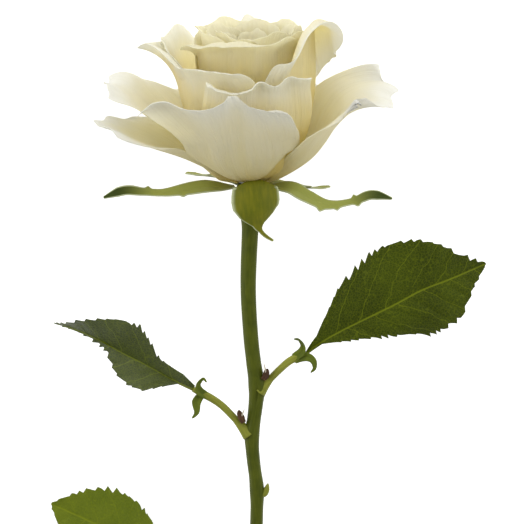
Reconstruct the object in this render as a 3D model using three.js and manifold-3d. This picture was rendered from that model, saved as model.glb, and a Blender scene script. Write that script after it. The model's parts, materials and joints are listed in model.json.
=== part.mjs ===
// A cut rose lying on a table: an open bloom of 26 petals over five sepals, its stem and three leaves.
// Millimetres. +Y runs up the stem to the bloom, +X is to its right and +Z is up from the table.
// Every piece is drawn from the seat, the centre of the hip's top, and the whole is moved at the
// end so that its origin is the centre of its box's bottom.
import * as THREE from "three";
import { mergeVertices } from "three/addons/utils/BufferGeometryUtils.js";
import Module from "manifold-3d";

const wasm = await Module();
wasm.setup();

// ---------- Driving dimensions ----------
const SEAT_HEIGHT = 36; // the seat above the table, set by the back petals that carry the bloom
const PETAL_THICKNESS = 0.8;
const SEPAL_THICKNESS = 0.9;
const BLADE_THICKNESS = 0.9;
const PETAL_GRID = [9, 8]; // rows and columns of a petal of the two open rows
const INNER_GRID = [7, 8]; // and of a petal further in
const SOFT_CONTACT = 1.5; // over how much height a petal flattens onto the table
const TINY = 1e-4; // a curvature, a roll or a share of a length below this counts as none

// How every petal is drawn. Shares of its length run from 0 at its claw to 1 at its rim.
const WIDEST = 0.62; // the share of its length at which it is widest
const RIM_NARROWING = 0.12; // how much narrower it is again at its rim
const CORNER_POWER = 2.4; // how late its rim falls to its corners
const CUSP_WIDTH = 0.16; // how wide the cusp is, as a share of its half width
const SIDE_ROLL_DEPTH = 6; // how much of its side margin curls outward
const SIDE_ROLL_LIMIT = 0.6; // and the most that curls, as a share of its half width
const SIDE_ROLL_DEEPENS = [0, 0.625]; // the shares of its length over which that margin gets wider
const SIDE_ROLL_TURNS = [0.25, 1]; // and over which it curls
const LEAST_ROLL_DEPTH = 0.1;
const BANK_GROWS = [0.2, 0.7]; // the shares over which it turns about its midrib
const LIFT_GROWS = [0, 1 / 7]; // and over which its margins leave their row

const COLOURS = {
  petal: { color: 0xf1ecd2, roughness: 0.6 },
  sepal: { color: 0x7d8f33, roughness: 0.6 },
  stem: { color: 0x55641d, roughness: 0.5 },
  leaf: { color: 0x3f5216, roughness: 0.5 },
  bud: { color: 0x5c3a1c, roughness: 0.8 },
};

// ---------- Small helpers ----------
const radians = THREE.MathUtils.degToRad;
const clamp01 = (x) => Math.min(1, Math.max(0, x));
const rampUp = (x, from, to) => clamp01((x - from) / (to - from));
const mixed = (a, x, b, y) => a.clone().multiplyScalar(x).addScaledVector(b, y);
const material = (name) => new THREE.MeshStandardMaterial({ ...COLOURS[name], metalness: 0 });

// A value read along a list of evenly spaced stops.
function along(stops, u) {
  const at = clamp01(u) * (stops.length - 1);
  const i = Math.min(stops.length - 2, Math.floor(at));
  return stops[i] + (stops[i + 1] - stops[i]) * (at - i);
}

// A height softened so that nothing falls below the table: it levels out over SOFT_CONTACT.
function onTable(z, clearance) {
  const level = clearance - SEAT_HEIGHT;
  const above = z - level - SOFT_CONTACT;
  return above >= 0 ? z : level + SOFT_CONTACT * Math.exp(above / SOFT_CONTACT);
}

// Turns a point list and triangles into a geometry whose faces point out.
function geometryOf(points, triangles) {
  let volume = 0;
  for (const [a, b, c] of triangles)
    volume += points[a].dot(points[b].clone().cross(points[c]));
  const index = triangles.flatMap(([a, b, c]) => (volume < 0 ? [a, c, b] : [a, b, c]));
  const geometry = new THREE.BufferGeometry();
  geometry.setAttribute(
    "position",
    new THREE.Float32BufferAttribute(points.flatMap((p) => p.toArray()), 3),
  );
  return geometry.setIndex(index);
}

// A sheet given as a function of two shares, thickened to both sides into one closed solid.
function thickSheet(sheet, rows, columns, thickness) {
  const grid = [];
  for (let i = 0; i <= rows; i++)
    for (let j = 0; j <= columns; j++) grid.push(sheet(i / rows, (2 * j) / columns - 1));
  const width = columns + 1;
  const at = (i, j) => Math.min(rows, Math.max(0, i)) * width + Math.min(columns, Math.max(0, j));
  const points = [];
  for (const side of [0.5, -0.5])
    for (let i = 0; i <= rows; i++)
      for (let j = 0; j <= columns; j++) {
        const up = grid[at(i + 1, j)].clone().sub(grid[at(i - 1, j)]);
        const across = grid[at(i, j + 1)].clone().sub(grid[at(i, j - 1)]);
        const normal = across.cross(up).normalize();
        points.push(grid[at(i, j)].clone().addScaledVector(normal, side * thickness));
      }
  const back = grid.length;
  const triangles = [];
  const quad = (a, b, c, d) => triangles.push([a, b, c], [a, c, d]);
  for (let i = 0; i < rows; i++)
    for (let j = 0; j < columns; j++) {
      const [a, b, c, d] = [at(i, j), at(i, j + 1), at(i + 1, j + 1), at(i + 1, j)];
      quad(a, b, c, d);
      quad(back + d, back + c, back + b, back + a);
    }
  const rim = [];
  for (let j = 0; j < columns; j++) rim.push(at(0, j));
  for (let i = 0; i < rows; i++) rim.push(at(i, columns));
  for (let j = columns; j > 0; j--) rim.push(at(rows, j));
  for (let i = rows; i > 0; i--) rim.push(at(i, 0));
  rim.forEach((a, k) => {
    const b = rim[(k + 1) % rim.length];
    quad(b, a, back + a, back + b);
  });
  return geometryOf(points, triangles);
}

const LEAST_RING_GAP = 0.002; // rings of a rod that are closer than this share of it are one

// A round rod along a curve, its radius read from a list of [share of length, radius] stops.
function rod(path, radii, steps, sides, endSlant = 0) {
  const curve = new THREE.CatmullRomCurve3(path.map((p) => new THREE.Vector3(...p)));
  const radiusAt = (u) => {
    const k = Math.max(1, radii.findIndex(([share]) => share >= u - TINY));
    const [[u0, r0], [u1, r1]] = [radii[k - 1], radii[k]];
    return r0 + (r1 - r0) * clamp01((u - u0) / (u1 - u0));
  };
  const even = Array.from({ length: steps + 1 }, (_, k) => k / steps);
  const shares = [...new Set([...even, ...radii.map(([u]) => u)])].sort((a, b) => a - b);
  const kept = shares.filter((u, k) => k === 0 || u - shares[k - 1] > LEAST_RING_GAP);
  const points = [];
  for (const u of kept) {
    const tangent = curve.getTangentAt(u);
    const across = new THREE.Vector3(1, 0, 0).addScaledVector(tangent, -tangent.x).normalize();
    const up = across.clone().cross(tangent);
    const slant = u === kept.at(-1) ? endSlant : 0;
    for (let k = 0; k < sides; k++) {
      const turn = (2 * Math.PI * k) / sides;
      const r = radiusAt(u);
      points.push(
        curve
          .getPointAt(u)
          .addScaledVector(across, r * Math.cos(turn))
          .addScaledVector(up, r * Math.sin(turn))
          .addScaledVector(tangent, slant * r * Math.sin(turn)),
      );
    }
  }
  const triangles = [];
  for (let i = 0; i + 1 < kept.length; i++)
    for (let k = 0; k < sides; k++) {
      const next = (k + 1) % sides;
      const [low, high] = [i * sides, (i + 1) * sides];
      triangles.push([low + k, low + next, high + next], [low + k, high + next, high + k]);
    }
  const last = (kept.length - 1) * sides;
  for (let k = 1; k + 1 < sides; k++)
    triangles.push([0, k + 1, k], [last, last + k, last + k + 1]);
  return geometryOf(points, triangles);
}

// Joins closed geometries that grew as one piece.
function grownTogether(geometries) {
  const solids = geometries.map((geometry) => {
    const merged = mergeVertices(geometry, TINY);
    return new wasm.Manifold(
      new wasm.Mesh({
        numProp: 3,
        vertProperties: merged.attributes.position.array,
        triVerts: new Uint32Array(merged.index.array),
      }),
    );
  });
  const { numProp, numVert, vertProperties, triVerts } = solids.reduce((a, b) => a.add(b)).getMesh();
  const position = new Float32Array(numVert * 3);
  for (let i = 0; i < numVert; i++)
    position.set(vertProperties.subarray(i * numProp, i * numProp + 3), i * 3);
  return new THREE.BufferGeometry()
    .setAttribute("position", new THREE.BufferAttribute(position, 3))
    .setIndex(new THREE.BufferAttribute(triVerts, 1));
}

// ---------- Petals ----------
// A petal's midrib: a smooth curve through [radius, height] points, read by arc length.
function midribOf(rise) {
  const curve = new THREE.SplineCurve(rise.map(([r, h]) => new THREE.Vector2(r, h)));
  const length = curve.getLength();
  return {
    length,
    at(y) {
      const u = clamp01(y / length);
      const point = curve.getPointAt(u);
      const tangent = curve.getTangentAt(u);
      return { r: point.x, h: point.y, lean: Math.atan2(tangent.x, tangent.y) };
    },
  };
}

// A petal as a sheet over s, from claw to rim, and t, from its left margin to its right one.
//   azimuth  where it stands round the bloom: 0 faces up from the table, 90 faces +X
//   rise     its midrib, as [radius, height] points
//   width    its widest half width; claw is its half width where it joins the hip, and waist is
//            how long it stays narrow above that
//   hug      how closely it wraps the axis, from claw to rim: 1 is a circle about it, 0 is flat
//   flat     1 bends its cross-section square to the midrib, 0 square to the bloom's axis
//   edges    how far its left and right margins stand off, so that neighbours overlap
//   rimRoll  [angle, depth] of the outward curl of its rim; sideRoll the angles of its side margins
//   cusp     the height of the point in the middle of its rim; corners are how far its corners fall
//   bank     how far it is turned about its own midrib, lifting its right margin
function petalSheet(petal) {
  const { azimuth, rise, width, claw, waist, hug, flat } = petal;
  const { edges, rimRoll, sideRoll, cusp, corners, bank } = petal;
  const midrib = midribOf(rise);
  const onSide = ([left, right], t) => (t < 0 ? left : right);
  const spread = (s) => {
    const swell = Math.sin((Math.PI / 2) * Math.min(1, s / WIDEST)) ** waist;
    return claw + (width - claw) * swell * (1 - RIM_NARROWING * rampUp(s, WIDEST, 1) ** 2);
  };
  const reach = (t) => {
    const fallen = onSide(corners, t) * Math.abs(t) ** CORNER_POWER;
    return midrib.length * (1 - fallen) - cusp * (1 - Math.exp(-((t / CUSP_WIDTH) ** 2)));
  };
  // The midrib, cut short at the rim over this column and curled outward there.
  // A margin that lies under its neighbour stays straight.
  const column = (s, t) => {
    const length = reach(t);
    const y = s * length;
    const [angle, fullDepth] = rimRoll;
    const depth = Math.min(fullDepth, length / 2);
    const covered = onSide(edges, t) < 0 ? 1 - Math.abs(t) : 1;
    const roll = radians(angle) * covered;
    if (y <= length - depth || roll < TINY) return midrib.at(y);
    const { r, h, lean } = midrib.at(length - depth);
    const radius = depth / roll;
    const turned = lean + (y - length + depth) / radius;
    return {
      r: r + radius * (Math.cos(lean) - Math.cos(turned)),
      h: h + radius * (Math.sin(turned) - Math.sin(lean)),
      lean: turned,
    };
  };
  return (s, t) => {
    const middle = midrib.at(s * midrib.length);
    const own = column(s, t);
    const bend = along(hug, s) / Math.max(middle.r, 1);
    const half = spread(s);
    const x = Math.abs(t) * half;
    const depth = Math.min(SIDE_ROLL_DEPTH, half * SIDE_ROLL_LIMIT) * rampUp(s, ...SIDE_ROLL_DEEPENS);
    const start = half - depth;
    const rolled = radians(onSide(sideRoll, t)) * rampUp(s, ...SIDE_ROLL_TURNS);
    const curl = rolled / Math.max(depth, LEAST_ROLL_DEPTH);
    // The cross-section: an arc about the axis, then the reversed arc of the curled margin.
    const inner = Math.min(x, start);
    let angle = bend * inner;
    let side = Math.sin(angle) / bend;
    let drop = -(1 - Math.cos(angle)) / bend;
    if (x > start) {
      const net = Math.abs(curl - bend) < TINY ? TINY : curl - bend;
      const turned = angle - net * (x - start);
      side += (Math.sin(angle) - Math.sin(turned)) / net;
      drop -= (Math.cos(turned) - Math.cos(angle)) / net;
      angle = turned;
    }
    const sign = Math.sign(t);
    const phi = radians(azimuth);
    const outward = new THREE.Vector3(Math.sin(phi), 0, Math.cos(phi));
    const beside = new THREE.Vector3(Math.cos(phi), 0, -Math.sin(phi));
    const axis = new THREE.Vector3(0, 1, 0);
    const tilt = flat * middle.lean;
    const face = mixed(outward, Math.cos(tilt), axis, -Math.sin(tilt));
    const turn = radians(bank) * rampUp(s, ...BANK_GROWS);
    const sideways = mixed(beside, Math.cos(turn), face, -Math.sin(turn));
    const plane = mixed(face, Math.cos(turn), beside, Math.sin(turn));
    const round = bend * x * sign;
    const local = mixed(outward, Math.cos(round), beside, Math.sin(round));
    const normal = mixed(plane, Math.cos(angle), sideways, Math.sin(angle) * sign);
    const lift = onSide(edges, t) * Math.abs(t) * rampUp(s, ...LIFT_GROWS);
    const point = outward
      .multiplyScalar(middle.r)
      .addScaledVector(axis, own.h)
      .addScaledVector(plane, drop)
      .addScaledVector(sideways, side * sign)
      .addScaledVector(local, own.r - middle.r)
      .addScaledVector(normal, lift);
    point.z = onTable(point.z, PETAL_THICKNESS / 2);
    return point;
  };
}

// The five outer petals, each with its own fall.
const OUTER = { claw: 2, waist: 2.2, hug: [1, 0.95, 0.85, 0.6], flat: 1, cusp: 2 };
const outerPetals = [
  {
    ...OUTER,
    azimuth: -17.5,
    rise: [[4.6, 0.4], [9.5, 1.6], [15, 4.4], [20, 9.6], [23.5, 17], [26, 24], [28, 29], [31.5, 33]],
    width: 25,
    waist: 3.9,
    hug: [1, 1, 0.95, 0.8],
    edges: [1.6, 1.6],
    rimRoll: [30, 6],
    sideRoll: [85, 0],
    corners: [0.06, 0.2],
    cusp: 3,
    bank: 4,
  },
  {
    ...OUTER,
    azimuth: 84,
    rise: [
      [4.6, 0.4],
      [9.5, 2.4],
      [15.5, 6],
      [20, 9.8],
      [23.6, 14.5],
      [27, 20],
      [31.5, 25],
      [38, 28.8],
      [46, 31.5],
    ],
    width: 23,
    hug: [1, 1.1, 1.5, 1.8],
    edges: [-0.4, 1.8],
    rimRoll: [55, 8],
    sideRoll: [20, 10],
    corners: [0.2, 0.1],
    cusp: 1,
    bank: 5,
  },
  {
    ...OUTER,
    azimuth: 154,
    rise: [[4.6, 0.4], [9.5, 2], [16, 5.4], [22, 10.5], [27, 17], [32, 23], [41, 28]],
    width: 20,
    edges: [1.8, 2.2],
    rimRoll: [20, 6],
    sideRoll: [0, 0],
    corners: [0.25, 0.25],
    bank: 0,
  },
  {
    ...OUTER,
    azimuth: -125,
    rise: [[4.6, 0.4], [9.5, 3], [15.5, 8], [22.5, 14.5], [29.5, 21], [37, 28], [46, 34]],
    width: 23,
    claw: 1.5,
    edges: [0.2, -0.6],
    rimRoll: [60, 7],
    sideRoll: [20, 0],
    corners: [0.3, 0.16],
    bank: 0,
  },
  {
    ...OUTER,
    azimuth: -89,
    rise: [[4.6, 0.4], [9.5, 2.4], [15, 5.6], [21, 8.8], [28, 12], [36, 15.6], [43, 18.6], [50, 21]],
    width: 15.5,
    claw: 1.4,
    waist: 8,
    hug: [1, 1, 1.1, 1],
    edges: [2, -0.8],
    rimRoll: [10, 6],
    sideRoll: [10, 15],
    corners: [0.2, 0.2],
    cusp: 2.5,
    bank: -7,
  },
];

// The second row stands up and opens at its rim.
const SECOND = { claw: 1.7, waist: 1.8, hug: [1, 1, 1, 0.9], flat: 0, cusp: 2, bank: 0 };
const secondPetals = [
  {
    ...SECOND,
    azimuth: 6,
    rise: [[4, 1.4], [8, 4], [13, 8.4], [18.2, 15.5], [21.2, 23], [23.2, 30], [24.4, 35.5], [27, 38.5]],
    width: 18,
    edges: [1.5, 1.5],
    rimRoll: [35, 4],
    sideRoll: [10, 60],
    corners: [0.06, 0.02],
  },
  {
    ...SECOND,
    azimuth: 66,
    rise: [[4, 1.4], [8, 4], [12.5, 8.5], [16.5, 16], [18.6, 24], [19.8, 33], [19.8, 43], [19.6, 58]],
    width: 25,
    waist: 2.2,
    edges: [-1.4, 0.8],
    rimRoll: [100, 11],
    sideRoll: [0, 0],
    corners: [0.36, 0.2],
    cusp: 0,
  },
  {
    ...SECOND,
    azimuth: 160,
    rise: [[4, 1.4], [8, 4], [12.5, 8.5], [16.2, 16], [18.4, 25], [19.2, 34], [20, 43], [22.5, 49]],
    width: 22,
    edges: [-1.7, -1.4],
    rimRoll: [30, 6],
    sideRoll: [0, 0],
    corners: [0.08, 0.08],
    cusp: 1,
  },
  {
    ...SECOND,
    azimuth: -126,
    rise: [[4, 1.4], [8, 4], [12.5, 8.5], [17, 16], [20, 25], [22, 34], [24, 43], [27.5, 49]],
    width: 20,
    edges: [1.2, -1.4],
    rimRoll: [30, 6],
    sideRoll: [0, 0],
    corners: [0.1, 0.16],
    cusp: 2.5,
  },
  {
    ...SECOND,
    azimuth: -62,
    rise: [[4, 1.4], [8, 4], [12.5, 8.5], [17.2, 15.5], [20.8, 23.5], [22.6, 31], [24, 38], [26.5, 42]],
    width: 27,
    waist: 2,
    edges: [0.4, 0],
    rimRoll: [20, 6],
    sideRoll: [80, 0],
    corners: [-0.06, -0.02],
    cusp: 0,
    bank: 5,
  },
];

// The inner rows repeat one petal round the axis, each row closer, steeper and more wrapped.
const INNER_ROWS = [
  {
    name: "third_petal",
    count: 5,
    first: -8,
    rise: [[3.4, 2.4], [6.8, 6], [10.3, 12], [13.2, 20], [14.7, 29], [15.4, 38], [15.8, 46], [17, 50]],
    width: 19,
    claw: 1.4,
    edges: [-1.4, 1.4],
    rimRoll: [45, 4],
  },
  {
    name: "fourth_petal",
    count: 5,
    first: 30,
    rise: [[2.8, 3.4], [5.2, 8], [7.6, 14], [9.8, 22], [11, 31], [11.5, 40], [11.6, 47], [12.6, 50]],
    width: 14.5,
    claw: 1.1,
    edges: [-1.1, 1.1],
    rimRoll: [40, 3],
  },
  {
    name: "fifth_petal",
    count: 4,
    first: 80,
    rise: [[1.9, 4.4], [2.9, 9], [4.4, 15], [6.2, 23], [7.3, 32], [7.6, 41], [7.4, 46], [8.2, 48]],
    width: 10,
    claw: 0.8,
    edges: [-0.9, 1],
    rimRoll: [30, 2],
  },
  {
    name: "heart_petal",
    count: 2,
    first: 140,
    rise: [[0.7, 6], [1, 11], [2, 18], [3.2, 28], [3.9, 37], [3.6, 43], [3.4, 46]],
    width: 7.6,
    claw: 0.6,
    edges: [-0.8, 0.8],
    rimRoll: [20, 1.5],
  },
];

function innerPetals() {
  return INNER_ROWS.flatMap(({ name, count, first, ...row }) =>
    Array.from({ length: count }, (_, k) => ({
      ...row,
      name: `${name}_${k + 1}`,
      azimuth: first + (360 / count) * k,
      waist: 1.5,
      hug: [1, 1, 1, 1],
      flat: 0,
      sideRoll: [0, 0],
      cusp: 1,
      corners: [0.1, 0.1],
      bank: 0,
      grid: INNER_GRID,
    })),
  );
}

function petalMeshes() {
  const numbered = (name, petals) => petals.map((petal, k) => ({ name: `${name}_${k + 1}`, ...petal }));
  return [
    ...numbered("outer_petal", outerPetals),
    ...numbered("second_petal", secondPetals),
    ...innerPetals(),
  ].map((petal) => {
    const geometry = thickSheet(petalSheet(petal), ...(petal.grid ?? PETAL_GRID), PETAL_THICKNESS);
    return named(petal.name, geometry, "petal");
  });
}

function named(name, geometry, materialName) {
  const mesh = new THREE.Mesh(geometry, material(materialName));
  mesh.name = name;
  return mesh;
}

// ---------- Sepals ----------
// A ribbon of leaf or sepal along a path, over s from its base to its tip and t across it.
//   facing   its upper side at base and tip; it twists evenly from one to the other
//   left     half widths from base to tip on its left, and right on its right
//   fold     the angle by which both halves rise toward its upper side
//   droop    how far the margins sink again, as a share of their distance squared
function ribbon({ path, facing, left, right, fold, droop }) {
  const curve = new THREE.CatmullRomCurve3(path.map((p) => new THREE.Vector3(...p)));
  const [first, last] = facing.map((p) => new THREE.Vector3(...p));
  return (s, t) => {
    const tangent = curve.getTangentAt(s);
    const upper = first.clone().lerp(last, s);
    upper.addScaledVector(tangent, -upper.dot(tangent)).normalize();
    const across = tangent.clone().cross(upper);
    const half = along(t < 0 ? left : right, s) * Math.abs(t);
    return curve
      .getPointAt(s)
      .addScaledVector(across, Math.sign(t) * half * Math.cos(radians(fold)))
      .addScaledVector(upper, half * Math.sin(radians(fold)) - droop * half * half);
  };
}

// The sepals, as the petals: where each stands, and its midrib as [radius, height] points. Toward
// is how far its upper side is turned away from the table.
const SEPAL_GRID = [12, 4];
const SEPAL_FOLD = 12;
const SEPAL_HALF_WIDTHS = [2.3, 3.3, 3.5, 3, 2.2, 1.5, 1.3, 1.6, 1.5, 0.3];
const sepals = [
  {
    azimuth: 8,
    rise: [[5.6, -1.2], [8, -1.6], [9.6, -4], [9.9, -7.6], [8.9, -11], [7.4, -14], [7, -16], [7.6, -18.4]],
    halfWidths: [2.6, 5.6, 7.2, 7, 5.2, 2.6, 0.8, 0.6, 0.3],
    droop: 0.06,
  },
  {
    azimuth: 82,
    toward: 1,
    rise: [[5.6, -1.2], [9, -1.2], [13, -1.6], [18, -4], [24.5, -6.4], [32.5, -5], [38.5, -2.6], [45, -3.6]],
  },
  { azimuth: 128, rise: [[5.6, -1.2], [9, -0.9], [15, -1.8], [21, -3.6], [27, -4.6], [32, -4.8]] },
  { azimuth: -138, rise: [[5.6, -1.2], [9, -0.6], [15, -0.2], [21, -0.4], [27, -1], [32, -1]] },
  {
    azimuth: -84,
    toward: 1,
    rise: [[5.6, -1.2], [9, -1.3], [15, -1], [21.5, -1.8], [28, -2.4], [35, -2], [41, -1.6], [47.5, -3.4]],
  },
];

function sepalSheet({ azimuth, rise, halfWidths = SEPAL_HALF_WIDTHS, droop = 0, toward = 0 }) {
  const phi = radians(azimuth);
  const outward = new THREE.Vector3(Math.sin(phi), 0, Math.cos(phi));
  const place = ([r, h]) => outward.clone().multiplyScalar(r).setY(h).toArray();
  const start = rise[1][0] - rise[0][0];
  const drop = rise.at(-1)[1] - rise.at(-3)[1];
  const run = rise.at(-1)[0] - rise.at(-3)[0];
  const [x, y, z] = place([-drop, run]);
  return ribbon({
    path: rise.map(place),
    facing: [place([0, start]), [x, y, z + toward * Math.hypot(drop, run)]],
    left: halfWidths,
    right: halfWidths,
    fold: droop ? 0 : SEPAL_FOLD,
    droop,
  });
}

const sepalMeshes = () =>
  sepals.map((sepal, k) =>
    named(`sepal_${k + 1}`, thickSheet(sepalSheet(sepal), ...SEPAL_GRID, SEPAL_THICKNESS), "sepal"),
  );

// ---------- Stem ----------
// The stem's way from the hip to its cut end, as [across, along]; it sinks to the table as it goes.
const stemWay = [
  [0, 0],
  [-0.2, -6],
  [-0.5, -12],
  [-1.2, -33],
  [-0.5, -49],
  [0.5, -59.5],
  [1.6, -67.5],
  [1.3, -73],
  [0.7, -78.5],
  [0, -84],
  [0.1, -89],
  [0.6, -94.5],
  [1.6, -103.5],
  [1.5, -113],
  [1, -128],
  [0.6, -139],
  [-0.4, -155],
  [-0.9, -178],
  [-0.4, -202],
  [0.6, -226],
  [0.9, -250],
  [0.8, -268],
];
const STEM_END_RADIUS = 2.6;
const STEM_CLEARANCE = 0.5; // the cut end's height above the table
const STEM_SINKS = [10, 268]; // between these distances below the seat the stem sinks
const STEM_SINK_POWER = 1.25; // and how late it does
const STEM_STEPS = 30;
const STEM_SIDES = 12;
const CUT_SLANT = 0.45;
const SCALE_NODE = -103.5; // the node that carries a green bud scale

function stemDrop(y) {
  const fall = SEAT_HEIGHT - STEM_END_RADIUS - STEM_CLEARANCE;
  return fall * rampUp(-y, ...STEM_SINKS) ** STEM_SINK_POWER;
}

// The stem's middle at a distance along it.
function onStem(y) {
  const below = stemWay.findIndex(([, at]) => at <= y);
  const [[x0, y0], [x1, y1]] = [stemWay[below - 1], stemWay[below]];
  return new THREE.Vector3(x0 + ((x1 - x0) * (y - y0)) / (y1 - y0), y, -stemDrop(y));
}

// Its radius, as [distance below the seat, radius]: the hip, then a swelling at every node.
const stemRadii = [
  [0, 4.6],
  [3, 5.3],
  [7, 4.8],
  [11, 3.2],
  [14, 2.7],
  [33, 2.5],
  [57, 2.4],
  [63, 2.5],
  [67.5, 2.9],
  [72, 2.4],
  [79, 2.2],
  [84, 2.5],
  [89, 2.2],
  [98, 2.1],
  [103.5, 2.45],
  [109, 2.1],
  [133, 2.1],
  [139, 2.6],
  [145, 2.2],
  [205, 2.4],
  [268, STEM_END_RADIUS],
];

// The bud scale's way from the middle of its node, and its radii.
const SCALE_WAY = [[1, -1.5, 0], [2.6, -1, 0.6], [3.4, 2, 0.8]];
const SCALE_RADII = [[0, 1.1], [0.6, 1], [1, 0.25]];

function stemGeometry() {
  const length = stemRadii.at(-1)[0];
  const shares = stemRadii.map(([down, radius]) => [down / length, radius]);
  const path = stemWay.map(([x, y]) => [x, y, -stemDrop(y)]);
  const node = onStem(SCALE_NODE);
  const scalePath = SCALE_WAY.map((step) => node.clone().add(new THREE.Vector3(...step)).toArray());
  return grownTogether([
    rod(path, shares, STEM_STEPS, STEM_SIDES, CUT_SLANT),
    rod(scalePath, SCALE_RADII, 3, 7),
  ]);
}

// ---------- Leaves ----------
// A leaf is one grown piece: its petiole, its blades and the stipules at its foot.
const BLADE_GRID = [10, 4];
const PETIOLE_RADII = [[0, 1.5], [0.12, 1], [0.7, 0.85], [1, 0.9]];
const STIPULE_GRID = [4, 2];
const STIPULE_THICKNESS = 0.7;
const STIPULE_HALF = [0.9, 1.4, 0.9, 0.15];
const BLADE_HALF = [0.04, 0.42, 0.7, 0.88, 0.98, 1, 0.92, 0.73, 0.42, 0.03];
const wide = (width) => BLADE_HALF.map((share) => share * width);

const rightLeaf = {
  blades: [
    {
      path: [
        [17.2, -57.2, -5],
        [22.1, -53.2, -4.5],
        [28.8, -48.9, -3],
        [38.7, -43.5, -1.5],
        [46.4, -39.6, -1.5],
        [54.7, -35.4, -3],
        [64.6, -32.1, -6],
        [75.5, -28.4, -11],
      ],
      facing: [[-0.1, 0.1, 1], [0.3, -0.1, 1]],
      left: wide(18),
      right: wide(12.5),
      fold: 14,
      droop: 0.018,
    },
  ],
  petiole: [[5.2, -66.4, -4.6], [9, -62, -4.4], [12.6, -59, -4.6], [17.2, -57.2, -5]],
  stipules: [
    { path: [[14.4, -57.4, -4.6], [15.6, -54.6, -2.6], [14, -51.4, 0]], facing: [[-1, 0, 1], [-1, 0, 1]] },
    { path: [[13.6, -58.8, -4.8], [18, -59, -3.6], [20, -61.6, -2]], facing: [[0, 0, 1], [0, 0.6, 1]] },
  ],
};

const leftLeaf = {
  blades: [
    {
      path: [
        [-19.2, -69, -6],
        [-26.6, -65.2, -5],
        [-33.9, -60.7, -4],
        [-42.6, -56, -3.5],
        [-47.8, -53, -4],
        [-56.3, -49.4, -6],
        [-64, -47.7, -9],
      ],
      facing: [[0.1, 0.5, 1], [-0.2, -0.3, 1]],
      left: wide(9.5),
      right: wide(10.5),
      fold: 16,
      droop: 0.02,
    },
  ],
  petiole: [
    [-3.6, -81, -6.6],
    [-6, -78.4, -5.9],
    [-9.6, -74.6, -5.7],
    [-13.6, -71.8, -5.9],
    [-19.2, -69, -6],
  ],
  stipules: [
    { path: [[-16.6, -70.4, -5.8], [-17, -67, -3.6], [-15.2, -64.4, -2]], facing: [[1, 0, 1], [1, 0, 1]] },
    { path: [[-15.4, -71.2, -6], [-17.6, -73, -5.4], [-18.2, -77, -5]], facing: [[0, 0, 1], [0, 0, 1]] },
  ],
};

const lowerLeaf = {
  blades: [
    {
      path: [
        [-31, -134.6, -16.4],
        [-36, -129.4, -16],
        [-42, -123.4, -15.6],
        [-50, -117.6, -15.6],
        [-66, -110.6, -18],
      ],
      facing: [[0.2, 0.3, 1], [-0.1, 0.1, 1]],
      left: wide(12.5),
      right: wide(13.5),
      fold: 12,
      droop: 0.014,
    },
    {
      path: [[-19, -137.6, -15.6], [-20.6, -130, -14.6], [-24, -121, -14.6], [-29, -111.5, -17]],
      facing: [[0.1, 0.2, 1], [-0.2, 0.2, 1]],
      left: wide(5),
      right: wide(8.5),
      fold: 14,
      droop: 0.02,
    },
    {
      path: [[-20, -138, -15.8], [-25, -145, -15.4], [-31, -153, -16.6], [-38, -161, -20]],
      facing: [[-0.2, 0.1, 1], [-0.1, -0.2, 1]],
      left: wide(9.5),
      right: wide(8.5),
      fold: 14,
      droop: 0.02,
    },
  ],
  petiole: [
    [-2.9, -139.2, -13.9],
    [-8, -138.4, -14.4],
    [-18, -138, -15.6],
    [-26, -136.6, -16.4],
    [-31, -134.6, -16.4],
  ],
  stipules: [
    {
      path: [[-5, -138.6, -13.8], [-6.6, -136.4, -12.6], [-7.2, -132.6, -11.6]],
      facing: [[1, 0, 1], [1, 0, 1]],
    },
    {
      path: [[-5, -139.2, -13.8], [-7.6, -142, -13], [-9.6, -145.4, -12.6]],
      facing: [[1, 0, 1], [0, 0, 1]],
    },
  ],
};

function leafGeometry({ blades, petiole, stipules }) {
  const shape = { left: STIPULE_HALF, right: STIPULE_HALF, fold: 10, droop: 0 };
  return grownTogether([
    rod(petiole, PETIOLE_RADII, 6, 6),
    ...blades.map((blade) => thickSheet(ribbon(blade), ...BLADE_GRID, BLADE_THICKNESS)),
    ...stipules.map((way) => thickSheet(ribbon({ ...shape, ...way }), ...STIPULE_GRID, STIPULE_THICKNESS)),
  ]);
}

const leafMeshes = () => [
  named("leaf_right", leafGeometry(rightLeaf), "leaf"),
  named("leaf_left", leafGeometry(leftLeaf), "leaf"),
  named("leaf_lower", leafGeometry(lowerLeaf), "leaf"),
];

// The small brown buds in the angles between the stem and the two upper leaves.
const BUD_RADII = [[0, 0.6], [0.4, 1], [1, 0.2]];
const buds = {
  bud_right: [[4, -63.4, -2.6], [4.8, -62, -2.2], [5.6, -59.6, -1.6]],
  bud_left: [[-2.9, -78.4, -4.4], [-3.6, -76.6, -4], [-4, -74, -3.4]],
};
const budMeshes = () =>
  Object.entries(buds).map(([name, path]) => named(name, rod(path, BUD_RADII, 4, 8), "bud"));

// ---------- The rose ----------
const rose = new THREE.Group();
rose.name = "cut_rose";
rose.add(
  named("stem", stemGeometry(), "stem"),
  ...sepalMeshes(),
  ...petalMeshes(),
  ...leafMeshes(),
  ...budMeshes(),
);
rose.updateMatrixWorld(true);
const box = new THREE.Box3().setFromObject(rose, true);
rose.position.set(-(box.min.x + box.max.x) / 2, -(box.min.y + box.max.y) / 2, -box.min.z);

export default rose;
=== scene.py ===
"""The looks of a cut rose lying on a table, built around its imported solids.

The tables are in millimetres from the seat, the centre of the hip's top: +X is to the rose's right,
+Y up the stem to the bloom and +Z up from the table. Finished meshes are in metres, in the row frame.
"""

import json
import logging
import math
from dataclasses import dataclass, field, replace
from enum import Enum
from typing import Sequence

import bpy
import numpy as np
from mathutils import Matrix, Vector

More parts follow.
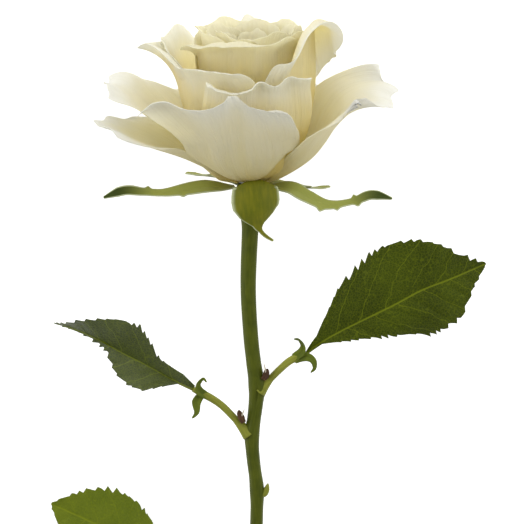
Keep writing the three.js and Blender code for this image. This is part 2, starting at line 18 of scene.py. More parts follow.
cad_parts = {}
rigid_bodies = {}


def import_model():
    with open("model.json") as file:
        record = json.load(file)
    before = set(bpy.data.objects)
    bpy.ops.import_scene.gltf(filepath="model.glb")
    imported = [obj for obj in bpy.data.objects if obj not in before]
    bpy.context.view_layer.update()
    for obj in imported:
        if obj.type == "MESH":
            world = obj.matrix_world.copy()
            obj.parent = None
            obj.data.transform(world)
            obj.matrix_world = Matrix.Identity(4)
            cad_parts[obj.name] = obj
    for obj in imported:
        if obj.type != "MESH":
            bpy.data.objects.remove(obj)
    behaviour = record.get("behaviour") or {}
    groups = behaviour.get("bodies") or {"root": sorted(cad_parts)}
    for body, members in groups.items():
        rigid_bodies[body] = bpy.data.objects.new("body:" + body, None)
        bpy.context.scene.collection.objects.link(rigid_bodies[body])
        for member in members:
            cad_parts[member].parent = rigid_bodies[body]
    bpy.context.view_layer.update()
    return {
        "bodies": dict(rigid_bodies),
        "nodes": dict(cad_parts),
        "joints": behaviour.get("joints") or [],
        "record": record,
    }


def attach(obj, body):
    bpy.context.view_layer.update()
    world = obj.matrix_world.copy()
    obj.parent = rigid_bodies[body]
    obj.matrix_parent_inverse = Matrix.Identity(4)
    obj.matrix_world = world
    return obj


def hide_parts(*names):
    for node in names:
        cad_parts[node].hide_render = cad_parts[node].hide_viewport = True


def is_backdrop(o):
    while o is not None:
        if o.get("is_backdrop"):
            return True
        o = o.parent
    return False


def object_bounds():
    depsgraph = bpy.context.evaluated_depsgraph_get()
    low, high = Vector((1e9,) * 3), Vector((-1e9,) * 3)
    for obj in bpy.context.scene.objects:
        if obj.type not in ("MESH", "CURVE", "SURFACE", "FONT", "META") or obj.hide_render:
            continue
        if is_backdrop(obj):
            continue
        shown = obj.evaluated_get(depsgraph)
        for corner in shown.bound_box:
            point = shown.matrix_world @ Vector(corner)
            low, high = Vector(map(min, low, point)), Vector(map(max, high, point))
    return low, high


log = logging.getLogger("rose")

MM = 0.001
Colour = tuple[float, float, float]
Path3 = Sequence[tuple[float, float, float]]
Stops = Sequence[float]
PLACE = "place"  # the attribute that every surface carries: across, along and which face


class Slot(Enum):
    """The record's material slots."""

    PETAL = "petal"
    SEPAL = "sepal"
    STEM = "stem"
    LEAF = "leaf"
    BUD = "bud"


class Spread(Enum):
    """How a row of petals opens, which sets its finish."""

    OPEN = "open"
    UPRIGHT = "upright"
    WRAPPED = "wrapped"


# ---------- Curves and surfaces ----------
def eased(x: np.ndarray) -> np.ndarray:
    """0 below 0, 1 above 1, and a smooth step between them."""
    x = np.clip(x, 0, 1)
    return x * x * (3 - 2 * x)


def along(stops: Stops, u: np.ndarray) -> np.ndarray:
    """A value read at share u along a list of evenly spaced stops."""
    return np.interp(u, np.linspace(0, 1, len(stops)), stops)


def unit(v: np.ndarray) -> np.ndarray:
    """The vectors at length one."""
    return v / np.maximum(np.linalg.norm(v, axis=-1, keepdims=True), 1e-12)


UNEVEN_TURNS = (0.85, 1.15)  # how far each sine's frequency strays from its even place
WAVE_GAIN = 1.6  # brings the mean of several sines back to about -1 to 1


def waves(x: np.ndarray, seed: int, slow: float, fast: float, terms: int = 5) -> np.ndarray:
    """A smooth wandering line: the mean of sines of seeded frequencies and phases, about -1 to 1.

    Args:
        x: where it is read.
        seed: which line.
        slow: the lowest frequency, in turns per unit of x.
        fast: the highest.
        terms: how many sines.

    Returns:
        The values, in x's shape.
    """
    draw = np.random.default_rng(seed)
    turns = np.linspace(slow, fast, terms) * draw.uniform(*UNEVEN_TURNS, terms)
    start = draw.uniform(0, 2 * np.pi, terms)
    weight = 1 / np.sqrt(np.arange(1, terms + 1))
    sines = np.sin(2 * np.pi * turns * x[..., None] + start)
    return (sines * weight).sum(-1) / weight.sum() * WAVE_GAIN


class Curve:
    """A smooth curve through points, read by the distance along it.

    Between each two points it is the Catmull-Rom cubic of the four nearest ones.
    """

    STEPS = 40

    def __init__(self, points: Sequence[Sequence[float]]) -> None:
        """Draws the curve densely and measures it.

        Args:
            points: what it passes through, in two or three dimensions.
        """
        p = np.asarray(points, float)
        ends = np.vstack([p[:1], p, p[-1:]])
        u = np.linspace(0, len(p) - 1, self.STEPS * (len(p) - 1) + 1)
        k = np.minimum(u.astype(int), len(p) - 2)
        w = (u - k)[:, None]
        before, here, there, after = ends[k], ends[k + 1], ends[k + 2], ends[k + 3]
        v0, v1 = (there - before) / 2, (after - here) / 2
        cubic = (2 * here - 2 * there + v0 + v1) * w**3
        self.points = cubic + (3 * there - 3 * here - 2 * v0 - v1) * w**2 + v0 * w + here
        hops = np.linalg.norm(np.diff(self.points, axis=0), axis=1)
        self.run = np.concatenate([[0], np.cumsum(hops)])
        self.length = float(self.run[-1])
        self.headings = unit(np.gradient(self.points, self.run, axis=0))

    def at(self, y: np.ndarray) -> np.ndarray:
        """The points at distances y along the curve."""
        return np.stack([np.interp(y, self.run, c) for c in self.points.T], -1)

    def heading(self, y: np.ndarray) -> np.ndarray:
        """The directions at distances y along the curve."""
        return unit(np.stack([np.interp(y, self.run, c) for c in self.headings.T], -1))


@dataclass
class Surface:
    """A closed surface: points in millimetres from the seat, faces, and each point's place on it."""

    points: np.ndarray
    faces: list[list[int]]
    place: np.ndarray

    @staticmethod
    def joined(parts: Sequence["Surface"]) -> "Surface":
        """Several closed surfaces as one mesh.

        Args:
            parts: the surfaces.

        Returns:
            The mesh that holds them all.
        """
        starts = np.cumsum([0] + [len(p.points) for p in parts[:-1]])
        faces = [[int(s) + v for v in f] for s, p in zip(starts, parts) for f in p.faces]
        points = np.concatenate([p.points for p in parts])
        return Surface(points, faces, np.concatenate([p.place for p in parts]))


def sheet_normals(grid: np.ndarray) -> np.ndarray:
    """The unit normals of a grid of points: its column direction crossed with its row direction."""
    return unit(np.cross(np.gradient(grid, axis=1), np.gradient(grid, axis=0)))


def closed_sheet(
    grid: np.ndarray,
    thickness: np.ndarray,
    across: np.ndarray,
    share: np.ndarray,
    edge_band: np.ndarray | float = 0.0,
) -> Surface:
    """A thin sheet with a rounded rim.

    Each face is the grid moved half the thickness along its normals. A third line of points round
    the edge stands half a thickness outside it, so that the rim is round.

    Args:
        grid: the middle of the sheet, rows by columns by 3.
        thickness: its thickness at each point.
        across: the first number of each point's place.
        share: the second; the third is 1 on the first face, 0 on the second and 0.5 on the rim.
        edge_band: 0 to 1, how much each point belongs to the margin, which brings it nearer to 0.5.

    Returns:
        The closed surface.
    """
    rows, columns = grid.shape[:2]
    n = sheet_normals(grid)
    half = thickness[..., None] / 2
    index = np.arange(rows * columns).reshape(rows, columns)
    loop = np.concatenate([index[0, :-1], index[:-1, -1], index[-1, :0:-1], index[:0:-1, 0]])
    inward = np.concatenate([index[1, :-1], index[:-1, -2], index[-2, :0:-1], index[:0:-1, 1]])
    flat, flat_n = grid.reshape(-1, 3), n.reshape(-1, 3)
    out = flat[loop] - flat[inward]
    out = unit(out - (out * flat_n[loop]).sum(-1, keepdims=True) * flat_n[loop])
    rim = flat[loop] + out * half.reshape(-1, 1)[loop]
    points = np.concatenate([(grid + n * half).reshape(-1, 3), (grid - n * half).reshape(-1, 3), rim])
    a, b, c, d = index[:-1, :-1], index[:-1, 1:], index[1:, 1:], index[1:, :-1]
    front = np.stack([a, b, c, d], -1).reshape(-1, 4)
    back, edge = rows * columns, 2 * rows * columns + np.arange(len(loop))
    following, edge_next = np.roll(loop, -1), np.roll(edge, -1)
    faces = np.concatenate(
        [
            front,
            front[:, ::-1] + back,
            np.stack([following, loop, edge, edge_next], -1),
            np.stack([edge_next, edge, loop + back, following + back], -1),
        ]
    )
    spot = np.stack([across, share], -1).reshape(-1, 2)
    spots = np.concatenate([spot, spot, spot[loop]])
    band = 0.5 * (edge_band + np.zeros((rows, columns))).ravel()
    side = np.concatenate([1 - band, band, np.full(len(loop), 0.5)])
    return Surface(points, faces.tolist(), np.column_stack([spots, side]))


def tube(
    path: Curve,
    radius: np.ndarray,
    sides: int,
    swell: np.ndarray | float = 0.0,
    slant: float = 0.0,
) -> Surface:
    """A rod round a curve, closed at both ends by a fan.

    Each ring is a circle square to the curve. Its radius is radius plus swell, and slant tips the
    last ring.

    Args:
        path: the rod's centre line.
        radius: its radius at evenly spaced rings.
        sides: points in a ring.
        swell: rings by sides, added to the radius.
        slant: how far the last ring's upper side runs ahead, in radii.

    Returns:
        The closed surface; its place is the distance round, the distance along and 0.5.
    """
    rings = len(radius)
    y = np.linspace(0, path.length, rings)
    centre, heading = path.at(y), path.heading(y)
    side = unit(np.cross(heading, [0, 0, 1]))
    up = np.cross(side, heading)
    turn = np.linspace(0, 2 * np.pi, sides, endpoint=False)
    r = radius[:, None] + swell
    ring = side[:, None] * np.cos(turn)[:, None] + up[:, None] * np.sin(turn)[:, None]
    points = centre[:, None] + ring * (r * np.ones((rings, sides)))[..., None]
    points[-1] += heading[-1] * (slant * radius[-1] * np.sin(turn))[:, None]
    index = np.arange(rings * sides).reshape(rings, sides)
    beside = np.roll(index, -1, axis=1)
    quads = np.stack([index[:-1], beside[:-1], beside[1:], index[1:]], -1).reshape(-1, 4)
    first, last = rings * sides, rings * sides + 1
    fans = [[int(b), int(a), first] for a, b in zip(index[0], beside[0])]
    fans += [[int(a), int(b), last] for a, b in zip(index[-1], beside[-1])]
    round_it = np.broadcast_to(turn * radius.mean(), (rings, sides))
    run = np.broadcast_to(y[:, None], (rings, sides))
    place = np.stack([round_it, run, np.full((rings, sides), 0.5)], -1)
    ends = np.array([[0, 0, 0.5], [0, y[-1], 0.5]])
    return Surface(
        np.concatenate([points.reshape(-1, 3), points[:1].mean(1), points[-1:].mean(1)]),
        quads.tolist() + fans,
        np.concatenate([place.reshape(-1, 3), ends]),
    )


# ---------- Finishes ----------
class Paint:
    """Builds one material's or one group's nodes."""

    RELIEF = 0.5  # how much every bump counts

    def __init__(self, tree: bpy.types.NodeTree) -> None:
        """Works in the given tree."""
        self.tree = tree

    def give(self, node: bpy.types.Node, inputs: dict) -> None:
        """Feeds a node's inputs.

        Args:
            node: the node.
            inputs: a value, or a socket to link, for each input by its name or number.
        """
        for name, value in inputs.items():
            if isinstance(value, bpy.types.NodeSocket):
                self.tree.links.new(value, node.inputs[name])
            else:
                node.inputs[name].default_value = value

    def add(self, kind: str, inputs: dict | None = None, **settings: object) -> bpy.types.Node:
        """Adds a node.

        Args:
            kind: the node's type without its ShaderNode prefix.
            inputs: a value or a socket for each input, by its name or number.
            settings: the node's own settings.

        Returns:
            The node.
        """
        node = self.tree.nodes.new("ShaderNode" + kind)
        for name, value in settings.items():
            setattr(node, name, value)
        self.give(node, inputs or {})
        return node

    def sum(self, operation: str, *values: object) -> bpy.types.NodeSocket:
        """A Math node's result."""
        return self.add("Math", dict(enumerate(values)), operation=operation).outputs[0]

    def times(self, first: object, second: object) -> bpy.types.NodeSocket:
        """The product of two numbers."""
        return self.sum("MULTIPLY", first, second)

    def plus(self, first: object, second: object) -> bpy.types.NodeSocket:
        """The sum of two numbers."""
        return self.sum("ADD", first, second)

    def minus(self, first: object, second: object) -> bpy.types.NodeSocket:
        """The first number less the second."""
        return self.sum("SUBTRACT", first, second)

    def step(self, value: object, start: float, end: float) -> bpy.types.NodeSocket:
        """A smooth mask that is 0 at start and 1 at end."""
        inputs = {"Value": value, "From Min": start, "From Max": end}
        return self.add("MapRange", inputs, interpolation_type="SMOOTHSTEP").outputs["Result"]

    def mix(self, share: object, first: object, second: object) -> bpy.types.NodeSocket:
        """Two colours mixed.

        Args:
            share: how much of the second.
            first: a colour or a socket.
            second: a colour or a socket.

        Returns:
            The mixed colour.
        """
        first, second = ((*c, 1) if isinstance(c, tuple) else c for c in (first, second))
        return self.add("Mix", {0: share, 6: first, 7: second}, data_type="RGBA").outputs[2]

    def ramp(self, share: object, colours: Sequence[tuple[float, Colour]]) -> bpy.types.NodeSocket:
        """A colour read along a list of stops.

        Args:
            share: where it is read.
            colours: each stop's place and colour.

        Returns:
            The colour.
        """
        node = self.add("ValToRGB", {"Fac": share})
        stops = node.color_ramp.elements
        while len(stops) < len(colours):
            stops.new(0.5)
        for stop, (at, colour) in zip(stops, colours):
            stop.position, stop.color = at, (*colour, 1)
        return node.outputs["Color"]

    def place(self) -> tuple[bpy.types.NodeSocket, ...]:
        """The surface's own place: across, along and face."""
        spot = self.add("Attribute", attribute_name=PLACE).outputs["Vector"]
        return tuple(self.add("SeparateXYZ", {0: spot}).outputs)

    def group(self, tree: bpy.types.NodeTree, **inputs: object) -> bpy.types.NodeOutputs:
        """What a shared effect puts out for its own values here."""
        return self.add("Group", inputs, node_tree=tree).outputs

    def relief(self, principled: bpy.types.Node, height: object, depth: float) -> bpy.types.NodeSocket:
        """Gives a shader a bump.

        Args:
            principled: the shader.
            height: the height that changes over the surface.
            depth: how deep it is, in metres.

        Returns:
            The bump's normal.
        """
        inputs = {"Height": height, "Strength": self.RELIEF, "Distance": depth}
        normal = self.add("Bump", inputs).outputs[0]
        self.give(principled, {"Normal": normal})
        return normal

    def let_through(self, principled: bpy.types.Node, share: float, inputs: dict) -> None:
        """Mixes a Translucent shader into a material.

        Args:
            principled: the material's own shader.
            share: how much of the Translucent one.
            inputs: the Translucent shader's inputs.
        """
        through = self.add("BsdfTranslucent", inputs)
        both = self.add("MixShader", {0: share, 1: principled.outputs[0], 2: through.outputs[0]})
        self.give(self.tree.nodes["Material Output"], {"Surface": both.outputs[0]})


def new_material(name: str) -> tuple[bpy.types.Material, Paint, bpy.types.Node]:
    """A new material.

    Args:
        name: its name.

    Returns:
        The material, what builds its nodes, and its Principled shader.
    """
    material = bpy.data.materials.new(name)
    material.use_nodes = True
    return material, Paint(material.node_tree), material.node_tree.nodes["Principled BSDF"]


def new_effect(
    name: str, inputs: Sequence[str], outputs: Sequence[str]
) -> tuple[Paint, bpy.types.NodeOutputs, bpy.types.Node]:
    """An empty shared effect whose sockets are all plain numbers.

    Args:
        name: its name.
        inputs: its inputs' names.
        outputs: its outputs' names.

    Returns:
        What builds its nodes, its input sockets, and the node that its results go to.
    """
    tree = bpy.data.node_groups.new(name, "ShaderNodeTree")
    for names, way in ((inputs, "INPUT"), (outputs, "OUTPUT")):
        for each in names:
            tree.interface.new_socket(each, in_out=way, socket_type="NodeSocketFloat")
    into = tree.nodes.new("NodeGroupInput").outputs
    return Paint(tree), into, tree.nodes.new("NodeGroupOutput")


@dataclass
class Effects:
    """The effects that several finishes use, each built once."""

    ribs: bpy.types.NodeTree = field(init=False)
    mottle: bpy.types.NodeTree = field(init=False)
    veins: bpy.types.NodeTree = field(init=False)

    RIB_MASK, BLOTCH_MASK = (0.25, 0.75), (0.3, 0.7)
    WOBBLE, WOBBLE_SCALE = 3.2, 0.22  # how far side veins wander, and how often
    BEND = 0.012  # how they bend toward the tip
    MAIN_EDGE, SIDE_EDGE = (0.5, 0.15), (0.2, 0.04)  # half widths, from faint to full
    NET_EDGE = 0.12
    NETS = ((1.15, 0.02, 0.8), (2.6, 0.03, 0.45))  # cells in a millimetre, full edge and share

    def __post_init__(self) -> None:
        """Builds the groups."""
        self.ribs = self.build_ribs()
        self.mottle = self.build_mottle()
        self.veins = self.build_veins()

    def build_ribs(self) -> bpy.types.NodeTree:
        """Fine lines that run along a surface: noise that is stretched along it.

        Returns:
            The group.
        """
        paint, into, out = new_effect("fine_ribs", ["Across", "Along", "Lines", "Stretch"], ["Ribs"])
        x = paint.times(into["Across"], into["Lines"])
        y = paint.times(into["Along"], into["Stretch"])
        spot = paint.add("CombineXYZ", {0: x, 1: y}).outputs[0]
        noise = paint.add("TexNoise", {"Vector": spot, "Scale": 1.0, "Detail": 3.0, "Roughness": 0.6})
        paint.give(out, {"Ribs": paint.step(noise.outputs["Fac"], *self.RIB_MASK)})
        return paint.tree

    def build_mottle(self) -> bpy.types.NodeTree:
        """Soft blotches in the object's own space.

        Returns:
            The group.
        """
        paint, into, out = new_effect("mottle", ["Size"], ["Blotches"])
        own = paint.add("TexCoord").outputs["Object"]
        scale = paint.sum("DIVIDE", 1.0, into["Size"])
        noise = paint.add("TexNoise", {"Vector": own, "Scale": scale, "Detail": 4.0, "Roughness": 0.55})
        paint.give(out, {"Blotches": paint.step(noise.outputs["Fac"], *self.BLOTCH_MASK)})
        return paint.tree

    def build_veins(self) -> bpy.types.NodeTree:
        """The veins of a blade: a midrib, curved side veins and a net between them.

        Side veins leave the midrib every Spacing and rise by Rise for each unit across, with a
        forward bend. They alternate from one side to the other. The net is the border of cells.

        Returns:
            The group.
        """
        names = ["Across", "Along", "Spacing", "Rise"]
        paint, into, out = new_effect("leaf_veins", names, ["Main", "Side", "Net"])
        spot = paint.add("CombineXYZ", {0: into["Across"], 1: into["Along"]}).outputs[0]
        inputs = {"Vector": spot, "Scale": self.WOBBLE_SCALE, "Detail": 1.0}
        wobble = paint.times(paint.add("TexNoise", inputs).outputs["Fac"], self.WOBBLE)
        away = paint.sum("ABSOLUTE", into["Across"])
        climb = paint.times(away, into["Rise"])
        bend = paint.times(paint.times(away, away), self.BEND)
        right = paint.times(paint.sum("GREATER_THAN", into["Across"], 0.0), 0.5)
        line = paint.plus(paint.minus(paint.minus(into["Along"], climb), bend), wobble)
        turns = paint.plus(paint.sum("DIVIDE", line, into["Spacing"]), right)
        near = paint.sum("ABSOLUTE", paint.minus(paint.sum("FRACT", turns), 0.5))
        distance = paint.times(near, into["Spacing"])
        nets = []
        for cells, full, share in self.NETS:
            inputs = {"Vector": spot, "Scale": cells}
            edge = paint.add("TexVoronoi", inputs, feature="DISTANCE_TO_EDGE").outputs["Distance"]
            nets.append(paint.times(paint.step(edge, self.NET_EDGE, full), share))
        main, side = paint.step(away, *self.MAIN_EDGE), paint.step(distance, *self.SIDE_EDGE)
        paint.give(out, {"Main": main, "Side": side, "Net": paint.sum("MAXIMUM", *nets)})
        return paint.tree


@dataclass(frozen=True)
class PetalFinish:
    """A petal: cream, warmer toward its claw, pale and thin at its rim, and let through by light.

    claw, low, body and rim are its colours on the way up, and warmth is how far up the first ones
    reach. through is the colour of the light that comes through it, and glow how much does. outer
    is the colour of a painted shade on its outer face, shade how strong that painted shade is, and
    its span where it starts and is full.
    """

    name: str
    claw: Colour
    low: Colour
    body: Colour
    rim: Colour
    through: Colour
    glow: float
    # outer, shade and the span after them paint shade onto the outer face
    outer: Colour
    shade: float
    shade_span: tuple[float, float]
    warmth: float

    STOPS = (0.08, 0.35, 0.65, 0.87)  # where claw, low, body and rim stand
    FINE, BROAD = {"Lines": 1.5, "Stretch": 2.4}, {"Lines": 0.32, "Stretch": 3.0}
    WANDER = 0.12  # how far the broad ribs push the colours
    STREAKS, STREAK_DARK = 0.17, 0.72  # how much the fine ribs show, and how dark they are
    CLOUD_SIZE, CLOUDS = 0.009, 0.09
    SPECK_SCALE, SPECK_EDGE = 310.0, (0.66, 0.74)
    DRY, DRY_COLOUR, DRY_RIM = 0.55, (0.20, 0.11, 0.03), (0.975, 0.998)
    ROUGH, GLOSS, SHEEN = 0.56, 0.25, 0.12
    BROAD_RELIEF, DEPTH = 1.4, 0.00022
    LIT_RIM = (0.72, 1.0)

    def material(self, effects: Effects) -> bpy.types.Material:
        """Builds the material.

        Args:
            effects: the shared effects.

        Returns:
            A Principled shader mixed with a Translucent one.
        """
        material, paint, principled = new_material(self.name)
        across, share, face = paint.place()
        ribs = paint.group(effects.ribs, Across=across, Along=share, **self.FINE)[0]
        broad = paint.group(effects.ribs, Across=across, Along=share, **self.BROAD)[0]
        clouds = paint.group(effects.mottle, Size=self.CLOUD_SIZE)[0]
        claw, low, body, rim = self.STOPS
        stops = [
            (claw, self.claw),
            (low * self.warmth, self.low),
            (body * self.warmth, self.body),
            (rim, self.rim),
        ]
        at = paint.plus(share, paint.times(paint.minus(broad, 0.5), self.WANDER))
        colour = paint.ramp(at, stops)
        streaks = paint.times(paint.minus(1.0, ribs), self.STREAKS)
        colour = paint.mix(streaks, colour, tuple(c * self.STREAK_DARK for c in self.low))
        colour = paint.mix(paint.times(clouds, self.CLOUDS), colour, self.through)
        # painted shade: the outer face is darkened toward outer, fully low down and fading toward the
        # rim
        outside = paint.times(face, paint.step(share, *self.shade_span))
        colour = paint.mix(paint.times(outside, self.shade), colour, self.outer)
        own = paint.add("TexCoord").outputs["Object"]
        specks = paint.add("TexNoise", {"Vector": own, "Scale": self.SPECK_SCALE}).outputs["Fac"]
        dry = paint.times(paint.step(specks, *self.SPECK_EDGE), paint.step(share, *self.DRY_RIM))
        colour = paint.mix(paint.times(dry, self.DRY), colour, self.DRY_COLOUR)
        paint.give(principled, {"Base Color": colour, "Roughness": self.ROUGH})
        paint.give(principled, {"Specular IOR Level": self.GLOSS, "Sheen Weight": self.SHEEN})
        height = paint.plus(ribs, paint.times(broad, self.BROAD_RELIEF))
        normal = paint.relief(principled, height, self.DEPTH)
        lit = paint.mix(paint.step(share, *self.LIT_RIM), self.through, self.rim)
        paint.let_through(principled, self.glow, {"Color": lit, "Normal": normal})
        return material


# outer and shade in each finish are a painted shade on the petals' outer faces
PETAL_FINISHES = {
    Spread.OPEN: PetalFinish(
        name="petal_open",
        claw=(0.74, 0.54, 0.09),
        low=(0.85, 0.79, 0.52),
        body=(0.89, 0.88, 0.80),
        rim=(0.90, 0.895, 0.85),
        through=(0.96, 0.90, 0.60),
        glow=0.42,
        outer=(0.52, 0.44, 0.14),
        shade=0.43,
        shade_span=(1.3, 0.6),
        warmth=0.95,
    ),
    Spread.UPRIGHT: PetalFinish(
        name="petal_upright",
        claw=(0.70, 0.55, 0.12),
        low=(0.84, 0.71, 0.26),
        body=(0.90, 0.86, 0.58),
        rim=(0.91, 0.90, 0.82),
        through=(0.98, 0.89, 0.50),
        glow=0.52,
        outer=(0.76, 0.60, 0.16),
        shade=0.2,
        shade_span=(0.95, 0.55),
        warmth=0.92,
    ),
    Spread.WRAPPED: PetalFinish(
        name="petal_wrapped",
        claw=(0.72, 0.56, 0.12),
        low=(0.86, 0.73, 0.27),
        body=(0.92, 0.87, 0.52),
        rim=(0.92, 0.895, 0.74),
        through=(0.98, 0.89, 0.50),
        glow=0.55,
        outer=(0.84, 0.68, 0.20),
        shade=0.14,
        shade_span=(0.95, 0.55),
        warmth=1.0,
    ),
}


@dataclass(frozen=True)
class LeafFinish:
    """A leaf's blade: dark satin green with pale yellow-green veins and a quilted upper side.

    Blotches turn green into dark. vein is the veins' colour, partly their own paler green and partly
    painted light that comes through them, under the underside's, glow how much light comes through
    and gloss how strongly the blade reflects.
    """

    name: str
    green: Colour
    dark: Colour
    # the veins' colour is partly their own paler green and partly painted light shining through them
    vein: Colour
    under: Colour
    roughness: float
    glow: float
    gloss: float

    VEINS = {"Spacing": 9.2, "Rise": 0.85}
    SHOWN = (("Net", 0.42), ("Side", 0.55), ("Main", 0.7))  # how much each kind of vein shows
    BLOTCH_SIZE, UNEVEN = 0.012, 0.12
    UNDERSIDE = (0.45, 0.05)
    DEPTH = 0.00025
    LIT = 1.9  # how much brighter the green is where light comes through

    def material(self, effects: Effects) -> bpy.types.Material:
        """Builds the material.

        Args:
            effects: the shared effects.

        Returns:
            A Principled shader mixed with a Translucent one.
        """
        material, paint, principled = new_material(self.name)
        across, along_it, face = paint.place()
        veins = paint.group(effects.veins, Across=across, Along=along_it, **self.VEINS)
        blotches = paint.group(effects.mottle, Size=self.BLOTCH_SIZE)[0]
        colour = paint.mix(blotches, self.dark, self.green)
        # the veins' colour is partly painted light that comes through them
        for kind, share in self.SHOWN:
            colour = paint.mix(paint.times(veins[kind], share), colour, self.vein)
        colour = paint.mix(paint.step(face, *self.UNDERSIDE), colour, self.under)
        rough = paint.plus(paint.times(blotches, self.UNEVEN), self.roughness)
        paint.give(principled, {"Base Color": colour, "Roughness": rough})
        paint.give(principled, {"Specular IOR Level": self.gloss})
        deep = paint.sum("MAXIMUM", veins["Main"], paint.sum("MAXIMUM", veins["Side"], veins["Net"]))
        paint.relief(principled, paint.minus(1.0, deep), self.DEPTH)
        lit = (*(c * self.LIT for c in self.green), 1)
        paint.let_through(principled, self.glow, {"Color": lit})
        return material


@dataclass(frozen=True)
class SkinFinish:
    """A green or brown skin: a stem, a stalk, a sepal or a bud, with fine lines along it.

    lines is how many there are in a millimetre and relief how deep they are. rim is the margin's
    colour, inner the inner face's, and fade where along the piece another colour starts and is
    full. glow is how much light comes through.
    """

    name: str
    light: Colour
    dark: Colour
    roughness: float
    lines: float
    relief: float
    rim: Colour | None = None
    inner: Colour | None = None
    fade: tuple[float, float, Colour] | None = None
    glow: float = 0.0

    STRETCH = 0.16
    RIBS = 0.55  # how much of the pattern is lines; the rest is blotches
    BLOTCH_SIZE, UNEVEN = 0.006, 0.14
    INSIDE, MARGIN = (0.6, 0.95), (0.42, 0.1)
    GLOSS = 0.14

    def material(self, effects: Effects) -> bpy.types.Material:
        """Builds the material.

        Args:
            effects: the shared effects.

        Returns:
            A Principled shader, mixed with a Translucent one where the skin glows.
        """
        material, paint, principled = new_material(self.name)
        across, along_it, face = paint.place()
        lines = {"Lines": self.lines, "Stretch": self.STRETCH}
        ribs = paint.group(effects.ribs, Across=across, Along=along_it, **lines)[0]
        blotches = paint.group(effects.mottle, Size=self.BLOTCH_SIZE)[0]
        mask = paint.plus(paint.times(ribs, self.RIBS), paint.times(blotches, 1 - self.RIBS))
        colour = paint.mix(mask, self.dark, self.light)
        if self.inner:
            colour = paint.mix(paint.step(face, *self.INSIDE), colour, self.inner)
        if self.fade:
            start, end, other = self.fade
            colour = paint.mix(paint.step(along_it, start, end), colour, other)
        if self.rim:
            away = paint.sum("ABSOLUTE", paint.minus(face, 0.5))
            colour = paint.mix(paint.step(away, *self.MARGIN), colour, self.rim)
        rough = paint.plus(paint.times(blotches, self.UNEVEN), self.roughness)
        paint.give(principled, {"Base Color": colour, "Roughness": rough})
        paint.give(principled, {"Specular IOR Level": self.GLOSS})
        paint.relief(principled, mask, self.relief * MM)
        if self.glow:
            paint.let_through(principled, self.glow, {"Color": (*self.light, 1)})
        return material


LEAF = LeafFinish(
    name="leaf_blade",
    green=(0.046, 0.066, 0.002),
    dark=(0.026, 0.040, 0.001),
    vein=(0.21, 0.25, 0.010),
    under=(0.10, 0.14, 0.04),
    roughness=0.42,
    glow=0.16,
    gloss=0.10,
)
SATIN_LEAF = replace(LEAF, name="leaf_blade_satin", roughness=0.32, gloss=0.6)
# a lighter green copy of the blade, for the lower leaf
LOWER_LEAF = replace(
    LEAF, name="leaf_blade_lighter", green=(0.16, 0.20, 0.014), dark=(0.115, 0.155, 0.010)
)
STEM = SkinFinish("stem_skin", (0.092, 0.108, 0.006), (0.048, 0.062, 0.003), 0.42, 1.3, 0.12)
STALK = SkinFinish("stalk_skin", (0.28, 0.29, 0.04), (0.15, 0.16, 0.018), 0.45, 1.6, 0.1)
BUD = SkinFinish("bud_scales", (0.13, 0.065, 0.03), (0.035, 0.018, 0.010), 0.7, 1.5, 0.2)
WISP = SkinFinish("bud_wisp", (0.75, 0.72, 0.62), (0.45, 0.38, 0.26), 0.7, 1.5, 0.05)
SEPAL = SkinFinish(
    name="sepal_skin",
    light=(0.19, 0.185, 0.007),
    dark=(0.10, 0.115, 0.005),
    roughness=0.48,
    lines=1.1,
    relief=0.1,
    rim=(0.52, 0.56, 0.32),
    inner=(0.36, 0.39, 0.09),
    fade=(24, 38, (0.045, 0.065, 0.008)),
    glow=0.18,
)
PLAIN_SEPAL = replace(SEPAL, inner=None, fade=None)
FRONT_SEPAL = replace(
    PLAIN_SEPAL, name="front_sepal_skin", light=(0.23, 0.22, 0.012), dark=(0.12, 0.14, 0.008)
)
STIPULE = replace(
    PLAIN_SEPAL, name="stipule_skin", light=(0.17, 0.21, 0.02), dark=(0.08, 0.11, 0.01), rim=None
)
Finish = PetalFinish | LeafFinish | SkinFinish


